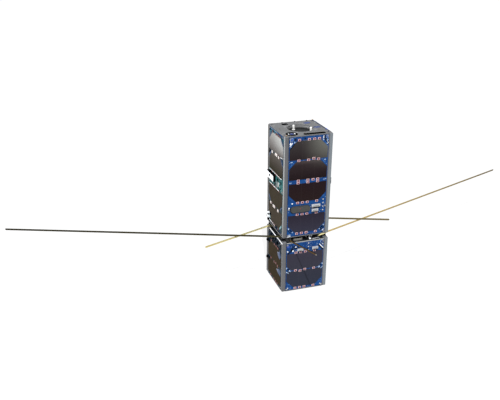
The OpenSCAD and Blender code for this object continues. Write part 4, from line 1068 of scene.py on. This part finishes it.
# blue wire that leaves the top plate's right edge and lies along it, and its clip
along_edge = [(47.2, -36 + 6.4 * i, top_face + 0.55 + 0.12 * sin(1.7 * i)) for i in range(13)]
s.tube([(42.6, -39.4, top_face + 0.3), (45.4, -38.2, top_face + 0.6), *along_edge,
        (45.6, 43.6, top_face + 0.5), (42.2, 44.8, top_face + 0.2)], 0.45)
s.rings([level(disc(47.3, -21.6, 1.3 * k, 20, 3.2 * k), top_face + h)
         for k, h in ((1, 0), (1, 1.1), (0.7, 1.6))], 1)
s.make("top_edge_wire", "port_blue", wire_blue, patch_blue, smooth=True)

# ------ antenna bay

# each ring of the latch is this oval, narrowed
oval = [(10.5 * copysign(abs(cos(t)) ** 0.6, cos(t)),
         3.4 * copysign(abs(sin(t)) ** 0.8, sin(t))) for t in turns(28)]


def latch_ring(kx, ky, z):
    return [(-15.5 + x * kx, -44.4 + y * ky, z) for x, y in oval]


s.rings([latch_ring(1, 1, BAY_FLOOR), latch_ring(1, 1, 119.2), latch_ring(0.9, 0.8, 119.8)])
s.rings([latch_ring(0.72, 0.45, 119.7), latch_ring(0.72, 0.45, 120.1)], 1)
s.make("bay_latch", "dark_metal", latch_grey, chip)

# a round coil on its core
x, y = 4.6, -40.4
coil = []
for a in turns(28):
    reach = [(3.8 + 1.3 * cos(b), 117.4 + 1.9 * sin(b)) for b in turns(10)]
    coil.append([(x + r * cos(a), y + r * sin(a), z) for r, z in reach])
s.rings(coil, hoop=True)
core = [(1.9, BAY_FLOOR), (1.9, 119.4), (1.4, 119.9)]
s.rings([level(disc(x, y, r, 20), z) for r, z in core], 1)
s.make("bay_ring", "black_plastic", chip, ceramic, smooth=True)

s.tube([(7.4, -38.6, 116), (8, -39.3, 120), (9, -43.4, 119.4), (10.2, -48.4, 117),
        (10.4, -48.8, 115.8)], 0.65)
s.tube([(12.9, -44, 121), (16, -43.4, 120.2), (19.6, -38, 118.6), (20.9, -34.4, 115.8)], 0.6)
s.block(rect(12.9, -44.4, 5, 3), 119.9, 122.5, 0.4)
s.block(rect(10.4, -48.4, 3.8, 2.6), 115.6, 118.2, 0.4)
s.make("release_line", "white_plastic", ceramic, smooth=True)

for *line, high in [
    ((15, -49), (29.6, -46.4), 2.6, 0.8), ((-2, -30), (22, -22), 2.2, 0.5),
    ((-36, -12), (-28, 10), 2.4, 0.6),
]:
    s.block(bar(*line), BAY_FLOOR, BAY_FLOOR + high, 0.2)
s.make("bay_strips", "connector_metal", solder)

for *place, high in [
    (-30, -26, 7, 5, 2.6), (26, -12, 6, 8, 2.2), (-24, 20, 9, 6, 3), (22, 22, 6, 6, 2.4),
    (2, 30, 11, 5, 2), (-2, 42.4, 12, 4.4, 3), (31.6, 4, 4, 12, 2),
]:
    s.block(rect(*place), BAY_FLOOR, BAY_FLOOR + high, 0.3)
s.make("bay_chips", "black_plastic", chip)

# painted highlight: a bright strip along the top of the lower bay's left face
s.plate(LEFT, bar((-30, 113.9), (48.4, 112.5), 1.8), HALF, HALF + 0.8, 0.25)
s.make("lid_edge", "frame_aluminium", painted_edge_highlight)

# black stop in the antenna bay's back left corner
s.block(rect(-46, 34, 7.6, 11), 119.6, 124.4, 0.3)
s.block(rect(-47.6, 36, 4, 7), 116, 119.7, 0.3)
s.make("bay_stop", "black_plastic", side_black)

# folded roots that double the right long tape and the left short one in the bay, their gold painted
# brighter as light
for path in ([(28.6, -46.8, 119.3, 119.9), (33, -44.8, 118.9, 121.2), (42, -40.8, 118.3, 122),
              (50, -37, 118, 122), (55.5, -34.6, 117.6, 121.6)],
             [(-40, 28.6, 118, 121.6), (-46, 29.6, 118, 121.8), (-54.5, 28.6, 117, 121)]):
    s.rings([[(x, y - 0.5, z0), (x, y + 0.3, z0), (x, y + 1, z1), (x, y + 0.2, z1)]
             for x, y, z0, z1 in path])
s.make("tape_roots", "contact_brass", root_gold_painted_bright)

# the left and right boxes: a white window plate on a black body
for side in (LEFT, RIGHT):
    s.plate(side, rect(-20.9, 237.6, 40.4, 13.6), board_face + 0.1, 54.7, 0.5)
    s.plate(side, rect(-20.9, 237.4, 39, 12.2), 54.6, 55.3, 0.3, 1)
    s.plate(side, rect(-21.8, 238.8, 6.4, 4.8), 55.25, 55.4, 0.05)
s.make("sun_sensor_hoods", "white_plastic", side_black, ceramic)

# dark socket on the right panel's front edge
s.plate(RIGHT, rect(-41.6, 236, 5.4, 8.4), HALF, 53.6, 0.8)
s.plate(RIGHT, rect(-41.6, 236, 3.4, 5.4), 53.5, 53.9, 0.15, 1)
s.make("right_side_socket", "black_plastic", chip, latch_grey)

# feed cables from the collar in the middle of the bay to the five antenna roots
for x, y, z in [(-40.6, -36.4, 121.6), (40.6, -36.2, 117.2), (-40.6, 36.4, 117.2),
                (40.6, 36.4, 121.6), (-36, -40.6, 117.4)]:
    root = Vector((x, y, 0))
    out = root.normalized()
    sway = Vector((-out.y, out.x, 0)) * 3.2
    path = []
    for i in range(13):
        t = i / 12
        p = (out * 18.2).lerp(root * 0.94, t)
        p.z = COLLAR + (z - COLLAR) * t - 1.1 * sin(pi * t)
        path.append(p + sway * sin(TURN * t) * 0.7)
    s.tube(path, 0.75)
s.make("feed_cables", "black_plastic", wire_and_shadow_black, smooth=True)

# a dark rim along the whip's upper edge and a small pale bead on its tip
lo, hi = in_mm("front_whip")
dx, dy, x0, y0 = tape_lines["front_whip"]
tip = (-lo.y - HALF) / abs(dy) - 1.5
for t0, t1, z0, z1, wide, mat in [(3, tip, hi.z - 0.7, hi.z, 0.8, 0),
                                  (tip - 1.5, tip + 1, lo.z + 0.6, hi.z - 0.6, 0.9, 1)]:
    strip = bar((x0 + dx * t0, y0 + dy * t0), (x0 + dx * t1, y0 + dy * t1), wide)
    s.rings([level(strip, z0), level(strip, z1)], mat)
s.make("front_whip_rim", "antenna_brown", wire_and_shadow_black, latch_grey)

# ------ stage

floor_mesh = bpy.data.meshes.new("floor")
corners = level(rect(0, 0, 2 * FLOOR_REACH, 2 * FLOOR_REACH), 0)
floor_mesh.from_pydata(corners, [], [(0, 1, 2, 3)])
floor = bpy.data.objects.new("floor", floor_mesh)
floor.location.z = -FLOOR_DROP
scene.collection.objects.link(floor)
floor_look = bpy.data.materials.new("floor")
floor_look.use_nodes = True
tree = floor_look.node_tree
tree.nodes.clear()
lit = grey_shader(tree, "BsdfDiffuse", FLOOR_GREY)
glow = grey_shader(tree, "Emission", 1, 1)
catcher = grey_shader(tree, "BsdfDiffuse", 1)
seen = mix_shaders(tree, FLOOR_GLOW, catcher, glow)
floor_out = tree.nodes.new("ShaderNodeOutputMaterial")
tree.links.new(mix_shaders(tree, seen_rays(tree), lit, seen), floor_out.inputs["Surface"])
floor_mesh.materials.append(floor_look)
